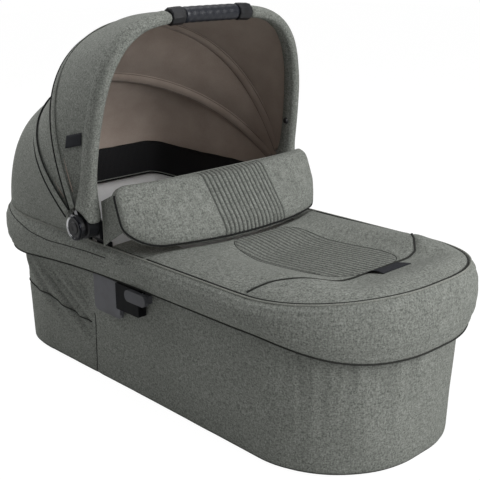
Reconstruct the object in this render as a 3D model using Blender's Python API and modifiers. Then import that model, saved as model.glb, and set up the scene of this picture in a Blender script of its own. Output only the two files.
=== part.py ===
# Soft-sided carrycot: a moulded base board, a rigid rim on two fold-down stands, a folding
# hood whose front bow is the carry handle, a quilted apron with a padded wind flap, and an
# adaptor socket with a release lever on each side.
# Metres. +X points to the foot end, +Y to the left side, +Z up, Z = 0 is the ground.

from math import asin, atan2, cos, hypot, pi, radians, sin

import bmesh
import bpy
from mathutils import Matrix, Vector

# Body
LENGTH = 0.860
WIDTH = 0.409
HEAD_CORNER_LONG = 0.135
HEAD_CORNER_WIDE = 0.060
FOOT_CORNER_LONG = 0.190
FOOT_NOSE_HALF = 0.0175
FOOT_CORNER_WIDE = WIDTH / 2 - FOOT_NOSE_HALF
HEAD_POWER = 2.15
FOOT_POWER = 1.96
GAP = 0.0003
SLACK = 0.0006

# Base board, feet and mattress
FOOT_HEIGHT = 0.0034
FOOT_RADIUS = 0.012
FOOT_END_IN = 0.160
FOOT_SPREAD_LONG = LENGTH / 2 - FOOT_END_IN
FOOT_SIDE_IN = 0.0895
FOOT_SPREAD_WIDE = WIDTH / 2 - FOOT_SIDE_IN
BASE_SIDE_IN = 0.0340
BASE_HEAD_IN = 0.0455
BASE_FOOT_IN = 0.0345
BOARD_THICK = 0.004
BOARD_WALL = 0.003
BOARD_WALL_TALL = 0.018
BOARD_ROUND = 0.006
VENT_LONG = 0.090
VENT_WIDE = 0.010
VENT_PITCH = 0.075
VENT_COUNT = 7
MATTRESS_SIDE_IN = 0.0535
MATTRESS_HEAD_IN = 0.0720
MATTRESS_FOOT_IN = 0.0755
MATTRESS_THICK = 0.033
MATTRESS_CROWN = 0.0035
MATTRESS_EDGE = 0.010
MATTRESS_PINCH = 0.002

# Rim: the level of its top edge, the padded band round it and the moulded frame inside
RIM_TOP = 0.2545
FOOT_RISE = 0.021
FOOT_RISE_LONG = 0.230
FOOT_RISE_START = LENGTH / 2 - FOOT_RISE_LONG
HEAD_RISE = 0.013
HEAD_RISE_LONG = 0.130
HEAD_RISE_START = LENGTH / 2 - HEAD_RISE_LONG
BAND_SIDE_DEPTH = 0.050
BAND_FOOT_DEPTH = 0.0944
BAND_HEAD_DEPTH = 0.083
BAND_FOOT_START = LENGTH / 2 - FOOT_CORNER_LONG
BAND_EDGE_IN = 0.012
BAND_THICK = 0.004
BAND_SHARES = ((0.0, 1.0), (0.12, 0.42), (0.30, 0.06), (0.48, 0.0), (0.68, 0.14), (0.86, 0.56), (1.0, 1.0))
PLATE_THICK = 0.0048
FRAME_WIDE = 0.0182
FRAME_TALL = 0.012
FRAME_DROP = 0.014
FRAME_ROUND = 0.003

# Cloth walls
CLOTH = 0.0021
FOLD_DEPTH = 0.0024
FOLD_COUNT = 34
WALL_SHARES = (0.0, 0.10, 0.32, 0.56, 0.80, 1.0)
HEAD_FLARE_POWER = 4
LINER_IN = 0.0487
LINER_SIDE_FOOT_IN = 0.0500
LINER_HEAD_FOOT_IN = 0.0688
LINER_FOOT_FOOT_IN = 0.0722
LINER_TURN = 0.016
LINER_LIP = 0.0026
VENT_BAND_TALL = 0.066
VENT_BAND_START = 0.125

# Fold-down stands
WIRE_RADIUS = 0.003
STAND_PIVOT_Z = 0.050
STAND_HEAD_SPREAD_IN = 0.07449935
STAND_HEAD_SPREAD = WIDTH / 2 - STAND_HEAD_SPREAD_IN
STAND_FOOT_SHARE = 0.3209
STAND_FOOT_SPREAD = FOOT_CORNER_WIDE * STAND_FOOT_SHARE
STAND_HEAD_PIVOT_IN = 0.058
STAND_HEAD_PIVOT_X = LENGTH / 2 - STAND_HEAD_PIVOT_IN
STAND_FOOT_PIVOT_IN = 0.061
STAND_FOOT_PIVOT_X = LENGTH / 2 - STAND_FOOT_PIVOT_IN
STAND_BAR_IN = 0.0441
STAND_BAR_DROP = 0.030
STAND_BEND = 0.022
POST_LONG = 0.011
POST_WIDE = 0.008
STRAP_THICK = 0.004
REST_LONG = 0.030
REST_TALL = 0.012
REST_REACH = 0.0036
REST_CLEAR = 0.00470

# Hub on each side and the bows that turn on it
HUB_X = -0.090
HUB_Z = 0.292
HUB_RADIUS = 0.020
HUB_BORE = 0.0040
HUB_PLATE = 0.0070
HUB_ROUND = 0.0015
DRUM_WIDE = 0.0203
CAP_WIDE = 0.0086
AXLE_HEAD_RADIUS = 0.0070
AXLE_HEAD = 0.0022
BUTTON_RADIUS = 0.0100
BUTTON_TRAVEL = 0.0030
BUTTON_PROUD = 0.0012
CAP_WEB = 0.0010
TRIM_OUT = 0.0172
TRIM_IN = 0.0150
TRIM_THICK = 0.0008
BRACKET_LONG = 0.036
BRACKET_CLIMB = 0.003

BOW_LEAN = radians(9.1)
BOW_OUT = 0.0120
BOW_HALF = WIDTH / 2 + BOW_OUT
BOW_RISE = 0.314
BOW_SIDE_POWER = 4.34
BOW_TOP_POWER = 3.48
TUBE_RADIUS = 0.008
COVER_WIDE = 0.030
COVER_THICK = 0.019
COVER_START = 0.0215
COVER_SIDES = 10
TUBE_CLEAR = 0.0009
GRIP_HALF = 0.056
GRIP_RADIUS = 0.0125
COLLAR_LONG = 0.026
COLLAR_RADIUS = 0.0138
STUD_RADIUS = 0.0058
STUD_THICK = 0.003
STUD_HEIGHT = 0.112
STUD_TIP_SHARE = 0.7
STUD_SIDES = 14

STRIP_WIDE = 0.008
STRIP_THICK = 0.0020
EAR_WIDE = 0.017
EAR_RUN = 0.010
EAR_TAPER = 0.030
EAR_STEP_SHARE = 0.7
EAR_SHARES = (0.45, 0.85, 1.0, 0.85, 0.70)
MID_LEAN = radians(-27.0)
MID_RISE = 0.3210
MID_SIDE_POWER = 1.95
MID_TOP_POWER = 3.15
REAR_LEAN = radians(-54.0)
REAR_RISE = 0.3105
REAR_SIDE_POWER = 1.75
REAR_TOP_POWER = 2.98
CANOPY_CLOTH = 0.0016
CANOPY_LIFT = 0.0021
CANOPY_START = 0.048
FRONT_PANEL_START = 0.094
CANOPY_ROOT = 0.030
FRONT_SAG_SHARE = 0.020
MIDDLE_SAG_SHARE = 0.021
BACK_SWELL_SHARE = 0.060

# Adaptor socket and lever
PLATE_X0 = -0.124
PLATE_X1 = -0.050
PLATE_Z0 = 0.137
PLATE_PAD = 0.0030
PLATE_CORNER = 0.010
PAD_IN_SHARE = 0.7
BLOCK_X1 = 0.008
BLOCK_Z0 = 0.160
BLOCK_DEEP = 0.0150
BLOCK_WALL = 0.0030
BLOCK_ROOF = 0.0080
LEVER_X0 = -0.016
LEVER_X1 = 0.035
LEVER_TALL = 0.0185
LEVER_THICK = 0.0075
LEVER_TRAVEL = 0.008
LEVER_ROUND_SHARE = 0.45
TONGUE_TALL = 0.0050
TONGUE_DEEP = 0.0018
SPRING_THICK = 0.0006
SPRING_TALL = 0.010

# Apron over the foot end and its padded wind flap
APRON_HEAD_X = 0.066
APRON_HEAD_BOW = 0.070
APRON_HEAD_POWER = 2.5
APRON_THICK = 0.0060
APRON_EDGE_THICK = 0.0018
APRON_CROWN = 0.0215
APRON_CROWN_HEAD = 0.0118
APRON_CROWN_IN = 0.180
APRON_CROWN_X = LENGTH / 2 - APRON_CROWN_IN
APRON_CROWN_POWER = 6.0
APRON_SEAM_IN = 0.117
APRON_SEAM_X = LENGTH / 2 - APRON_SEAM_IN
APRON_SEAM_BOW = 0.300
APRON_SEAM_POWER = 6.0
APRON_SAG = 0.0070
APRON_SAG_FLAT = 0.072
APRON_SAG_HALF = 0.135
APRON_SAG_LONG = 0.090
APRON_SAG_FOOT_IN = 0.040
APRON_SAG_FOOT_LONG = 0.070
APRON_SEAM_DIP = 0.0015
APRON_SEAM_SHARE = 0.8
RIB_COUNT = 16
RIB_HALF = 0.068
RIB_DEPTH = 0.0016
FLAP_PROUD = 0.0035
FLAP_HALF = WIDTH / 2 + FLAP_PROUD
FLAP_BASE_X = 0.0626
FLAP_BASE_BOW = 0.072
FLAP_BASE_Z = 0.2648
FLAP_BASE_CLIMB = 0.0040
FLAP_TOP_X = -0.010
FLAP_TOP_BOW = 0.0285
FLAP_TOP_Z = 0.3650
FLAP_TOP_FALL = 0.009
FLAP_THICK = 0.025
FLAP_END_THICK = 0.016
FLAP_LOW_CORNER = 0.052
FLAP_TOP_CORNER = 0.016
FLAP_BOW_POWER = 2.5
FLAP_CORNER_SHARE = 0.8
FLAP_END_SHARE = 0.75
FLAP_FRONT_SHARE = 0.62
FLAP_BULGE_POWER = 0.4
FLAP_EDGE_SHARE = 0.25
FLAP_ROW_SHARES = (0.0, 0.14, 0.36, 0.62, 0.85, 1.0)

# How finely the curved forms are cut
FOOT_STEPS = 9
HEAD_STEPS = 5
SIDE_STEPS = 6
END_STEPS = 3
BOW_STEPS = 26
TUBE_STEPS = 42
CANOPY_ROWS = 6
ROUND_SIDES = 20


def clear_scene():
    for thing in list(bpy.data.objects):
        bpy.data.objects.remove(thing)


clear_scene()
PARTS = bpy.data.collections.new("carrycot")
CUTTERS = bpy.data.collections.new("cutters")
for group in (PARTS, CUTTERS):
    bpy.context.scene.collection.children.link(group)


def finish_of(name, colour, roughness, metallic=0.0):
    """A Principled material with one plain colour."""
    made = bpy.data.materials.new(name)
    made.use_nodes = True
    shader = made.node_tree.nodes["Principled BSDF"]
    shader.inputs["Base Color"].default_value = (*colour, 1.0)
    shader.inputs["Roughness"].default_value = roughness
    shader.inputs["Metallic"].default_value = metallic
    return made


MELANGE = finish_of("grey melange cloth", (0.150, 0.160, 0.150), 0.95)
TAUPE = finish_of("taupe hood lining", (0.200, 0.170, 0.150), 0.9)
PALE = finish_of("pale grey liner", (0.420, 0.430, 0.430), 0.9)
MESH_BLACK = finish_of("black mesh", (0.010, 0.010, 0.012), 0.9)
BLACK = finish_of("black moulded plastic", (0.015, 0.016, 0.022), 0.45)
GREY = finish_of("grey moulded plastic", (0.120, 0.125, 0.130), 0.5)
BOARD = finish_of("dark base board", (0.030, 0.031, 0.034), 0.6)
HIDE = finish_of("navy leatherette", (0.014, 0.017, 0.030), 0.5)
STEEL = finish_of("zinc plated steel", (0.550, 0.550, 0.560), 0.35, 1.0)
CHROME = finish_of("bright chrome", (0.800, 0.800, 0.820), 0.08, 1.0)
RUBBER = finish_of("black rubber", (0.020, 0.020, 0.020), 0.8)


def place(name, mesh, finish, pivot=None):
    """Links a mesh as one named part, with its origin on the pivot when it has one."""
    part = bpy.data.objects.new(name, mesh)
    if pivot is not None:
        mesh.transform(Matrix.Translation(-Vector(pivot)))
        part.location = pivot
    mesh.materials.clear()
    mesh.materials.append(finish)
    mesh.shade_smooth()
    mesh.set_sharp_from_angle(angle=radians(35))
    PARTS.objects.link(part)
    return part


def mesh_of(name, build):
    """A mesh filled by build(bm), with its faces turned outwards."""
    bm = bmesh.new()
    build(bm)
    bmesh.ops.recalc_face_normals(bm, faces=bm.faces)
    mesh = bpy.data.meshes.new(name)
    bm.to_mesh(mesh)
    bm.free()
    return mesh


def loft(rings, around=True, along=False, caps=False):
    """Faces between successive rings of points. around closes each ring, along joins the last
    ring to the first, caps fills the first and last ring."""
    def build(bm):
        rows = [[bm.verts.new(point) for point in ring] for ring in rings]
        count = len(rows[0])
        last = len(rows) if along else len(rows) - 1
        for r in range(last):
            low, high = rows[r], rows[(r + 1) % len(rows)]
            for k in range(count if around else count - 1):
                m = (k + 1) % count
                bm.faces.new((low[k], low[m], high[m], high[k]))
        if caps:
            bm.faces.new(rows[0])
            bm.faces.new(rows[-1])
    return build


def cut(part, cutter):
    """Takes the cutter out of the part with an exact Boolean."""
    CUTTERS.objects.link(cutter)
    cutter.hide_render = True
    cutter.display_type = "WIRE"
    hole = part.modifiers.new("cut", "BOOLEAN")
    hole.operation = "DIFFERENCE"
    hole.object = cutter


def join(part, piece):
    """Welds a helper solid onto the part with an exact Boolean."""
    CUTTERS.objects.link(piece)
    piece.hide_render = True
    piece.display_type = "WIRE"
    weld = part.modifiers.new("join", "BOOLEAN")
    weld.operation = "UNION"
    weld.object = piece


def soften(part, width, segments=2, angle=40):
    edge = part.modifiers.new("soft edges", "BEVEL")
    edge.width = width
    edge.segments = segments
    edge.limit_method = "ANGLE"
    edge.angle_limit = radians(angle)


def solid(name, build):
    """A loose helper object, for cutting or joining."""
    return bpy.data.objects.new(name, mesh_of(name, build))


def box_between(low, high):
    size = Vector(high) - Vector(low)
    middle = (Vector(high) + Vector(low)) / 2

    def build(bm):
        bmesh.ops.create_cube(bm, size=1.0)
        bmesh.ops.scale(bm, vec=size, verts=bm.verts)
        bmesh.ops.translate(bm, vec=middle, verts=bm.verts)
    return build


def rod_between(start, end, radius, end_radius=None, sides=ROUND_SIDES):
    """A round bar or cone between two points."""
    start, end = Vector(start), Vector(end)
    turn = (end - start).to_track_quat("Z", "Y").to_matrix().to_4x4()

    def build(bm):
        bmesh.ops.create_cone(
            bm, cap_ends=True, segments=sides, radius1=radius,
            radius2=radius if end_radius is None else end_radius, depth=(end - start).length,
            matrix=Matrix.Translation((start + end) / 2) @ turn,
        )
    return build


def turned(profile, centre, sides=ROUND_SIDES):
    """A solid of revolution about the Y axis through centre. The profile holds (radius, y)."""
    def build(bm):
        rings = [
            [
                (centre[0] + radius * cos(2 * pi * k / sides), y, centre[2] + radius * sin(2 * pi * k / sides))
                for k in range(sides)
            ]
            for radius, y in profile
        ]
        loft(rings, caps=profile[0] != profile[-1])(bm)
        bmesh.ops.remove_doubles(bm, verts=bm.verts, dist=GAP / ROUND_SIDES)
    return build


def prism(outline, axis_low, axis_high, axis="Y"):
    """Extrudes a flat outline. Its points are (x, z) for axis Y and (y, z) for axis X."""
    def lift(a, b, depth):
        return (a, depth, b) if axis == "Y" else (depth, a, b)

    def build(bm):
        rings = [[lift(a, b, depth) for a, b in outline] for depth in (axis_low, axis_high)]
        loft(rings, caps=True)(bm)
    return build


def rounded(x0, z0, x1, z1, corner, steps=4):
    """The outline of a rectangle with round corners."""
    points = []
    for cx, cz, start in (
        (x1 - corner, z1 - corner, 0.0), (x0 + corner, z1 - corner, pi / 2),
        (x0 + corner, z0 + corner, pi), (x1 - corner, z0 + corner, -pi / 2),
    ):
        for k in range(steps + 1):
            angle = start + pi / 2 * k / steps
            points.append((cx + corner * cos(angle), cz + corner * sin(angle)))
    return points


def wire(name, points, radius, finish, pivot=None):
    """A round wire or tube as a curve with a bevel and filled caps."""
    curve = bpy.data.curves.new(name, "CURVE")
    curve.dimensions = "3D"
    curve.bevel_depth = radius
    curve.bevel_resolution = 2
    curve.use_fill_caps = True
    base = Vector(pivot or (0, 0, 0))
    spline = curve.splines.new("POLY")
    spline.points.add(len(points) - 1)
    for slot, point in zip(spline.points, points):
        slot.co = (*(Vector(point) - base), 1.0)
    curve.materials.append(finish)
    part = bpy.data.objects.new(name, curve)
    part.location = base
    PARTS.objects.link(part)
    return part


def ease(share):
    share = min(max(share, 0.0), 1.0)
    return share * share * (3 - 2 * share)


def mix(a, b, share):
    return a + (b - a) * share


def rim_top(x):
    """Height of the rim's top edge: level along the sides, swept up at both ends."""
    to_foot = max(0.0, (x - FOOT_RISE_START) / (LENGTH / 2 - FOOT_RISE_START))
    to_head = max(0.0, (-x - HEAD_RISE_START) / (LENGTH / 2 - HEAD_RISE_START))
    return RIM_TOP + FOOT_RISE * to_foot ** 2 + HEAD_RISE * to_head ** 2


def seam_height(x):
    """Height of the padded band's lower edge: the band is deepest at the two ends."""
    to_foot = ease((x - BAND_FOOT_START) / (LENGTH / 2 - BAND_FOOT_START))
    to_head = max(0.0, -x / (LENGTH / 2)) ** 2
    deep = BAND_SIDE_DEPTH + (BAND_FOOT_DEPTH - BAND_SIDE_DEPTH) * to_foot
    return rim_top(x) - deep - (BAND_HEAD_DEPTH - BAND_SIDE_DEPTH) * to_head


def plan(side_in, head_in=None, foot_in=None):
    """The body's outline seen from above, moved in by these amounts: points (x, y) from the
    middle of the foot end along the left side, round the head end and back."""
    head_in = side_in if head_in is None else head_in
    foot_in = side_in if foot_in is None else foot_in
    half = WIDTH / 2 - side_in
    foot_long, foot_wide = FOOT_CORNER_LONG - foot_in, FOOT_CORNER_WIDE - side_in
    head_long = HEAD_CORNER_LONG - head_in
    head_wide = max(HEAD_CORNER_WIDE - side_in, HEAD_CORNER_WIDE / 6)
    foot_x = LENGTH / 2 - foot_in - foot_long
    head_x = head_in + head_long - LENGTH / 2
    points = [(LENGTH / 2 - foot_in, 0.0)]
    for k in range(FOOT_STEPS + 1):
        angle = pi / 2 * k / FOOT_STEPS
        points.append((
            foot_x + foot_long * abs(cos(angle)) ** (2 / FOOT_POWER),
            half - foot_wide + foot_wide * abs(sin(angle)) ** (2 / FOOT_POWER),
        ))
    for k in range(1, SIDE_STEPS):
        points.append((mix(foot_x, head_x, k / SIDE_STEPS), half))
    for k in range(HEAD_STEPS + 1):
        angle = pi / 2 * k / HEAD_STEPS
        points.append((
            head_x - head_long * abs(sin(angle)) ** (2 / HEAD_POWER),
            half - head_wide + head_wide * abs(cos(angle)) ** (2 / HEAD_POWER),
        ))
    for k in range(1, END_STEPS):
        points.append((head_in - LENGTH / 2, (half - head_wide) * (1 - k / END_STEPS)))
    points.append((head_in - LENGTH / 2, 0.0))
    return points + [(x, -y) for x, y in points[-2:0:-1]]


def foot_reach(y, inset):
    """How far the foot end reaches in X at this Y, for an outline moved in by inset."""
    long_axis, wide_axis = FOOT_CORNER_LONG - inset, FOOT_CORNER_WIDE - inset
    start = WIDTH / 2 - FOOT_CORNER_WIDE
    share = min(max(abs(y) - start, 0.0) / wide_axis, 1.0)
    return LENGTH / 2 - FOOT_CORNER_LONG + long_axis * (1 - share ** FOOT_POWER) ** (1 / FOOT_POWER)


def hoop(name, profile, finish):
    """A ring that follows the body's outline. Each profile entry holds the three insets and a
    height that may depend on x."""
    rings = [[(x, y, height(x)) for x, y in plan(*insets)] for insets, height in profile]
    return place(name, mesh_of(name, loft(rings, along=True)), finish)


def above(rise):
    return lambda x: rim_top(x) + rise


def level(z):
    return lambda x: z


# Levels and widths that several parts share
BOARD_LOW = FOOT_HEIGHT + GAP
FLOOR_Z = BOARD_LOW + BOARD_THICK
BOARD_SIDE_IN = BASE_SIDE_IN + CLOTH + SLACK
BOARD_HEAD_IN = BASE_HEAD_IN + CLOTH + SLACK * 2
BOARD_FOOT_IN = BASE_FOOT_IN + CLOTH + SLACK
PLATE_OUT_Y = WIDTH / 2 - BAND_EDGE_IN - BAND_THICK - SLACK
PLATE_IN_Y = PLATE_OUT_Y - PLATE_THICK
FRAME_OUT_IN = WIDTH / 2 - PLATE_IN_Y + GAP
FRAME_BACK_IN = FRAME_OUT_IN + FRAME_WIDE
FRAME_LOW = FRAME_DROP + FRAME_TALL
DRUM_Y0 = BOW_HALF - DRUM_WIDE / 2
DRUM_Y1 = BOW_HALF + DRUM_WIDE / 2
MID_HALF = DRUM_Y1 + GAP + STRIP_THICK / 2
REAR_HALF = MID_HALF + STRIP_THICK + GAP
CAP_Y0 = REAR_HALF + STRIP_THICK / 2 + GAP
CAP_Y1 = CAP_Y0 + CAP_WIDE


def make_base():
    insets = (BOARD_SIDE_IN, BOARD_HEAD_IN, BOARD_FOOT_IN)

    def ring(extra, z):
        return [(x, y, z) for x, y in plan(*(inset + extra for inset in insets))]

    wall_top = BOARD_LOW + BOARD_WALL_TALL
    rings = [
        ring(BOARD_ROUND + BOARD_WALL, BOARD_LOW), ring(BOARD_WALL / 2, BOARD_LOW + BOARD_WALL / 2),
        ring(0, BOARD_LOW + BOARD_ROUND), ring(0, wall_top), ring(BOARD_WALL, wall_top),
        ring(BOARD_WALL, FLOOR_Z),
    ]
    board = place("base_board", mesh_of("base_board", loft(rings, caps=True)), BOARD)

    def slots(bm):
        for k in range(VENT_COUNT):
            x = (k - (VENT_COUNT - 1) / 2) * VENT_PITCH
            outline = rounded(-VENT_LONG / 2, -VENT_WIDE / 2, VENT_LONG / 2, VENT_WIDE / 2, VENT_WIDE / 3, 2)
            rings = [[(x + b, a, z) for a, b in outline] for z in (BOARD_LOW - SLACK, FLOOR_Z + SLACK)]
            loft(rings, caps=True)(bm)

    cut(board, solid("vent_slots", slots))

    for end, x in (("head", -FOOT_SPREAD_LONG), ("foot", FOOT_SPREAD_LONG)):
        for side, y in (("right", -FOOT_SPREAD_WIDE), ("left", FOOT_SPREAD_WIDE)):
            pad = rod_between((x, y, 0), (x, y, FOOT_HEIGHT), FOOT_RADIUS - SLACK, FOOT_RADIUS)
            place(f"base_pad_{end}_{side}", mesh_of("base_pad", pad), RUBBER)


def make_mattress():
    insets = (MATTRESS_SIDE_IN, MATTRESS_HEAD_IN, MATTRESS_FOOT_IN)
    low, high = FLOOR_Z + GAP, FLOOR_Z + GAP + MATTRESS_THICK
    steps = (
        (MATTRESS_EDGE, low), (MATTRESS_EDGE / 5, low + MATTRESS_EDGE / 2), (0, low + MATTRESS_EDGE),
        (MATTRESS_PINCH, (low + high) / 2), (0, high - MATTRESS_EDGE),
        (MATTRESS_EDGE / 5, high - MATTRESS_EDGE / 3), (MATTRESS_EDGE, high),
        (MATTRESS_EDGE * 3, high + MATTRESS_CROWN * 3 / 4), (MATTRESS_EDGE * 6, high + MATTRESS_CROWN),
    )
    rings = [[(x, y, z) for x, y in plan(*(inset + extra for inset in insets))] for extra, z in steps]
    place("mattress", mesh_of("mattress", loft(rings, caps=True)), PALE)


def make_rim_frame():
    low, high = -FRAME_LOW, -FRAME_DROP
    out, back, turn = FRAME_OUT_IN, FRAME_BACK_IN, FRAME_ROUND
    corners = (
        (out + turn, high), (back - turn, high), (back, high - turn), (back, low + turn),
        (back - turn, low), (out + turn, low), (out, low + turn), (out, high - turn),
    )
    hoop("rim_frame", [((inset, inset, inset), above(z)) for inset, z in corners], GREY)


def make_rim_band():
    """The padded band: its outer face bulges to the body's full width."""

    def height(share):
        return lambda x: mix(rim_top(x), seam_height(x), share)

    outer = [((BAND_EDGE_IN * in_share,) * 3, height(share)) for share, in_share in BAND_SHARES]
    inner = [((BAND_EDGE_IN * in_share + BAND_THICK,) * 3, height(share)) for share, in_share in reversed(BAND_SHARES)]
    hoop("rim_band", outer + inner, MELANGE)


def make_skirt():
    """The outer cloth wall, hung from the frame, with soft folds round the ends."""
    top_in = FRAME_OUT_IN + GAP
    shares = WALL_SHARES

    def ring(share, back):
        insets = [
            mix(base, top_in, share ** power) + back
            for base, power in ((BASE_SIDE_IN, 1), (BASE_HEAD_IN, HEAD_FLARE_POWER), (BASE_FOOT_IN, 1))
        ]
        points = []
        for x, y in plan(*insets):
            top = rim_top(x) - FRAME_LOW - GAP
            ends = ease((abs(x) - LENGTH / 4) / (LENGTH / 8))
            wave = FOLD_DEPTH * ends * sin(pi * share) * sin(FOLD_COUNT / 2 * atan2(y, x))
            out = Vector((x, y)).normalized() * wave
            points.append((x + out.x, y + out.y, mix(FOOT_HEIGHT, top, share)))
        return points

    rings = [ring(share, 0) for share in shares] + [ring(share, CLOTH) for share in reversed(shares)]
    place("skirt", mesh_of("skirt", loft(rings, along=True)), MELANGE)


def make_liner():
    foot = (LINER_SIDE_FOOT_IN, LINER_HEAD_FOOT_IN, LINER_FOOT_FOOT_IN)
    even = (LINER_IN,) * 3
    lip_in = FRAME_OUT_IN + GAP * 4
    lip_z = -LINER_LIP - CLOTH

    def moved(insets, extra):
        return tuple(inset + extra for inset in insets)

    profile = [
        (foot, level(FLOOR_Z + GAP)), (even, above(-LINER_TURN)),
        (moved(even, -LINER_TURN / 4), above(lip_z - LINER_TURN / 5)),
        (moved(even, -LINER_TURN * 3 / 4), above(lip_z)), ((lip_in,) * 3, above(lip_z)),
        ((lip_in,) * 3, above(-LINER_LIP)), (moved(even, -LINER_TURN * 3 / 4), above(-LINER_LIP)),
        (moved(even, CLOTH - LINER_TURN / 4), above(lip_z)),
        (moved(even, CLOTH), above(-LINER_TURN)), (moved(foot, CLOTH), level(FLOOR_Z + GAP)),
    ]
    hoop("liner", profile, PALE)


def head_run(inset, start, rise):
    """The outline round the head end only, from X = -start on the left side to the right."""
    half = WIDTH / 2 - inset
    run = [(x, y) for x, y in plan(inset) if x < -start - SLACK]
    run = [(-start, half)] + run + [(-start, -half)]
    return [(x, y, rim_top(x) + rise) for x, y in run]


def make_vent_band():
    """The black breathable strip that stands inside the hood, round the head end."""
    low, high = -LINER_LIP + GAP, -LINER_LIP + GAP + VENT_BAND_TALL
    inset = FRAME_OUT_IN + GAP * 4
    edges = (
        head_run(inset, VENT_BAND_START, low), head_run(inset, VENT_BAND_START, high),
        head_run(inset + CLOTH, VENT_BAND_START, high), head_run(inset + CLOTH, VENT_BAND_START, low),
    )
    sections = [list(points) for points in zip(*edges)]
    place("vent_band", mesh_of("vent_band", loft(sections, caps=True)), MESH_BLACK)


def stand_points(x_pivot, x_bar, spread, bar_x):
    """Centre line of one U-shaped stand, from one pivot pin over the cross bar to the other."""
    x_leg = bar_x(spread)
    top = rim_top(x_bar) - STAND_BAR_DROP
    pin = POST_WIDE + WIRE_RADIUS * 2
    half = [(x_pivot, spread + pin, STAND_PIVOT_Z), (x_pivot, spread + WIRE_RADIUS / 2, STAND_PIVOT_Z)]
    rise = top - STAND_PIVOT_Z
    half.append((mix(x_pivot, x_leg, WIRE_RADIUS / rise), spread, STAND_PIVOT_Z + WIRE_RADIUS))
    for k in range(5):
        angle = pi / 2 * k / 4
        y = spread - STAND_BEND + STAND_BEND * cos(angle)
        z = top - STAND_BEND + STAND_BEND * sin(angle)
        share = (z - STAND_PIVOT_Z) / rise
        half.append((mix(x_pivot, bar_x(y), share), y, z))
    for k in range(1, 4):
        y = (spread - STAND_BEND) * (1 - k / 4)
        half.append((bar_x(y), y, top))
    return half + [(bar_x(0), 0.0, top)] + [(x, -y, z) for x, y, z in reversed(half)]


def make_stands():
    def head_bar(y):
        return STAND_BAR_IN - LENGTH / 2

    def foot_bar(y):
        return foot_reach(y, STAND_BAR_IN)

    wire("stand_head", stand_points(-STAND_HEAD_PIVOT_X, head_bar(0), STAND_HEAD_SPREAD, head_bar),
         WIRE_RADIUS, STEEL, (-STAND_HEAD_PIVOT_X, 0, STAND_PIVOT_Z))
    wire("stand_foot", stand_points(STAND_FOOT_PIVOT_X, foot_bar(0), STAND_FOOT_SPREAD, foot_bar),
         WIRE_RADIUS, STEEL, (STAND_FOOT_PIVOT_X, 0, STAND_PIVOT_Z))

    for name, x, spread in (
        ("stand_bracket_head", -STAND_HEAD_PIVOT_X, STAND_HEAD_SPREAD),
        ("stand_bracket_foot", STAND_FOOT_PIVOT_X, STAND_FOOT_SPREAD),
    ):
        near, far = spread + WIRE_RADIUS + GAP, spread + WIRE_RADIUS + GAP + POST_WIDE
        low, top = FLOOR_Z + GAP, STAND_PIVOT_Z + POST_LONG / 2
        outline = [
            (-far, low), (far, low), (far, top), (near, top), (near, low + STRAP_THICK),
            (-near, low + STRAP_THICK), (-near, top), (-far, top),
        ]
        x0, x1 = x - POST_LONG / 2, x + POST_LONG / 2
        part = place(name, mesh_of(name, prism(outline, x0, x1, axis="X")), BLACK)
        soften(part, STRAP_THICK / 4)
        reach = far + SLACK
        cut(part, solid(name + "_bore", rod_between(
            (x, -reach, STAND_PIVOT_Z), (x, reach, STAND_PIVOT_Z), WIRE_RADIUS + GAP, sides=16)))

    for end, side, x in (("head", -1, head_bar(0)), ("foot", 1, foot_bar(0))):
        z = rim_top(x) - STAND_BAR_DROP
        back = STAND_BAR_IN - FRAME_BACK_IN - GAP
        outline = [
            (x + side * back, z + REST_CLEAR - back), (x + side * back, z + REST_TALL),
            (x - side * REST_REACH, z + REST_TALL), (x - side * REST_REACH, z + REST_CLEAR + REST_REACH),
        ]
        rest = prism(outline, -REST_LONG / 2, REST_LONG / 2)
        place("stand_rest_" + end, mesh_of("stand_rest", rest), BLACK)


def arch_point(angle, lean, half, rise, side_power, top_power):
    """A point of a hood bow. angle runs from 0 on the right side over the top to pi."""
    y = -half * (1 if cos(angle) > 0 else -1) * abs(cos(angle)) ** (2 / side_power)
    out = rise * abs(sin(angle)) ** (2 / top_power)
    return Vector((HUB_X + out * sin(lean), y, HUB_Z + out * cos(lean)))


def even_steps(points, count):
    """The same line with its points an equal distance apart."""
    points = [Vector(point) for point in points]
    run = [0.0]
    for a, b in zip(points, points[1:]):
        run.append(run[-1] + (b - a).length)
    result, k = [], 0
    for n in range(count + 1):
        target = run[-1] * n / count
        while k < len(points) - 2 and run[k + 1] < target:
            k += 1
        span = run[k + 1] - run[k]
        result.append(points[k].lerp(points[k + 1], (target - run[k]) / span))
    return result


FRONT = (BOW_LEAN, BOW_HALF, BOW_RISE, BOW_SIDE_POWER, BOW_TOP_POWER)
MID = (MID_LEAN, MID_HALF, MID_RISE, MID_SIDE_POWER, MID_TOP_POWER)
REAR = (REAR_LEAN, REAR_HALF, REAR_RISE, REAR_SIDE_POWER, REAR_TOP_POWER)
FINE = 240


def arch(shape, start_out, grow=0.0):
    """Many points of a bow from start_out above the hub, over the top, to the other side."""
    lean, half, rise, side_power, top_power = shape
    rise, half = rise + grow, half + grow
    first = asin(min(1.0, (start_out / rise) ** (top_power / 2)))
    return [
        arch_point(mix(first, pi - first, k / FINE), lean, half, rise, side_power, top_power)
        for k in range(FINE + 1)
    ]


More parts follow.
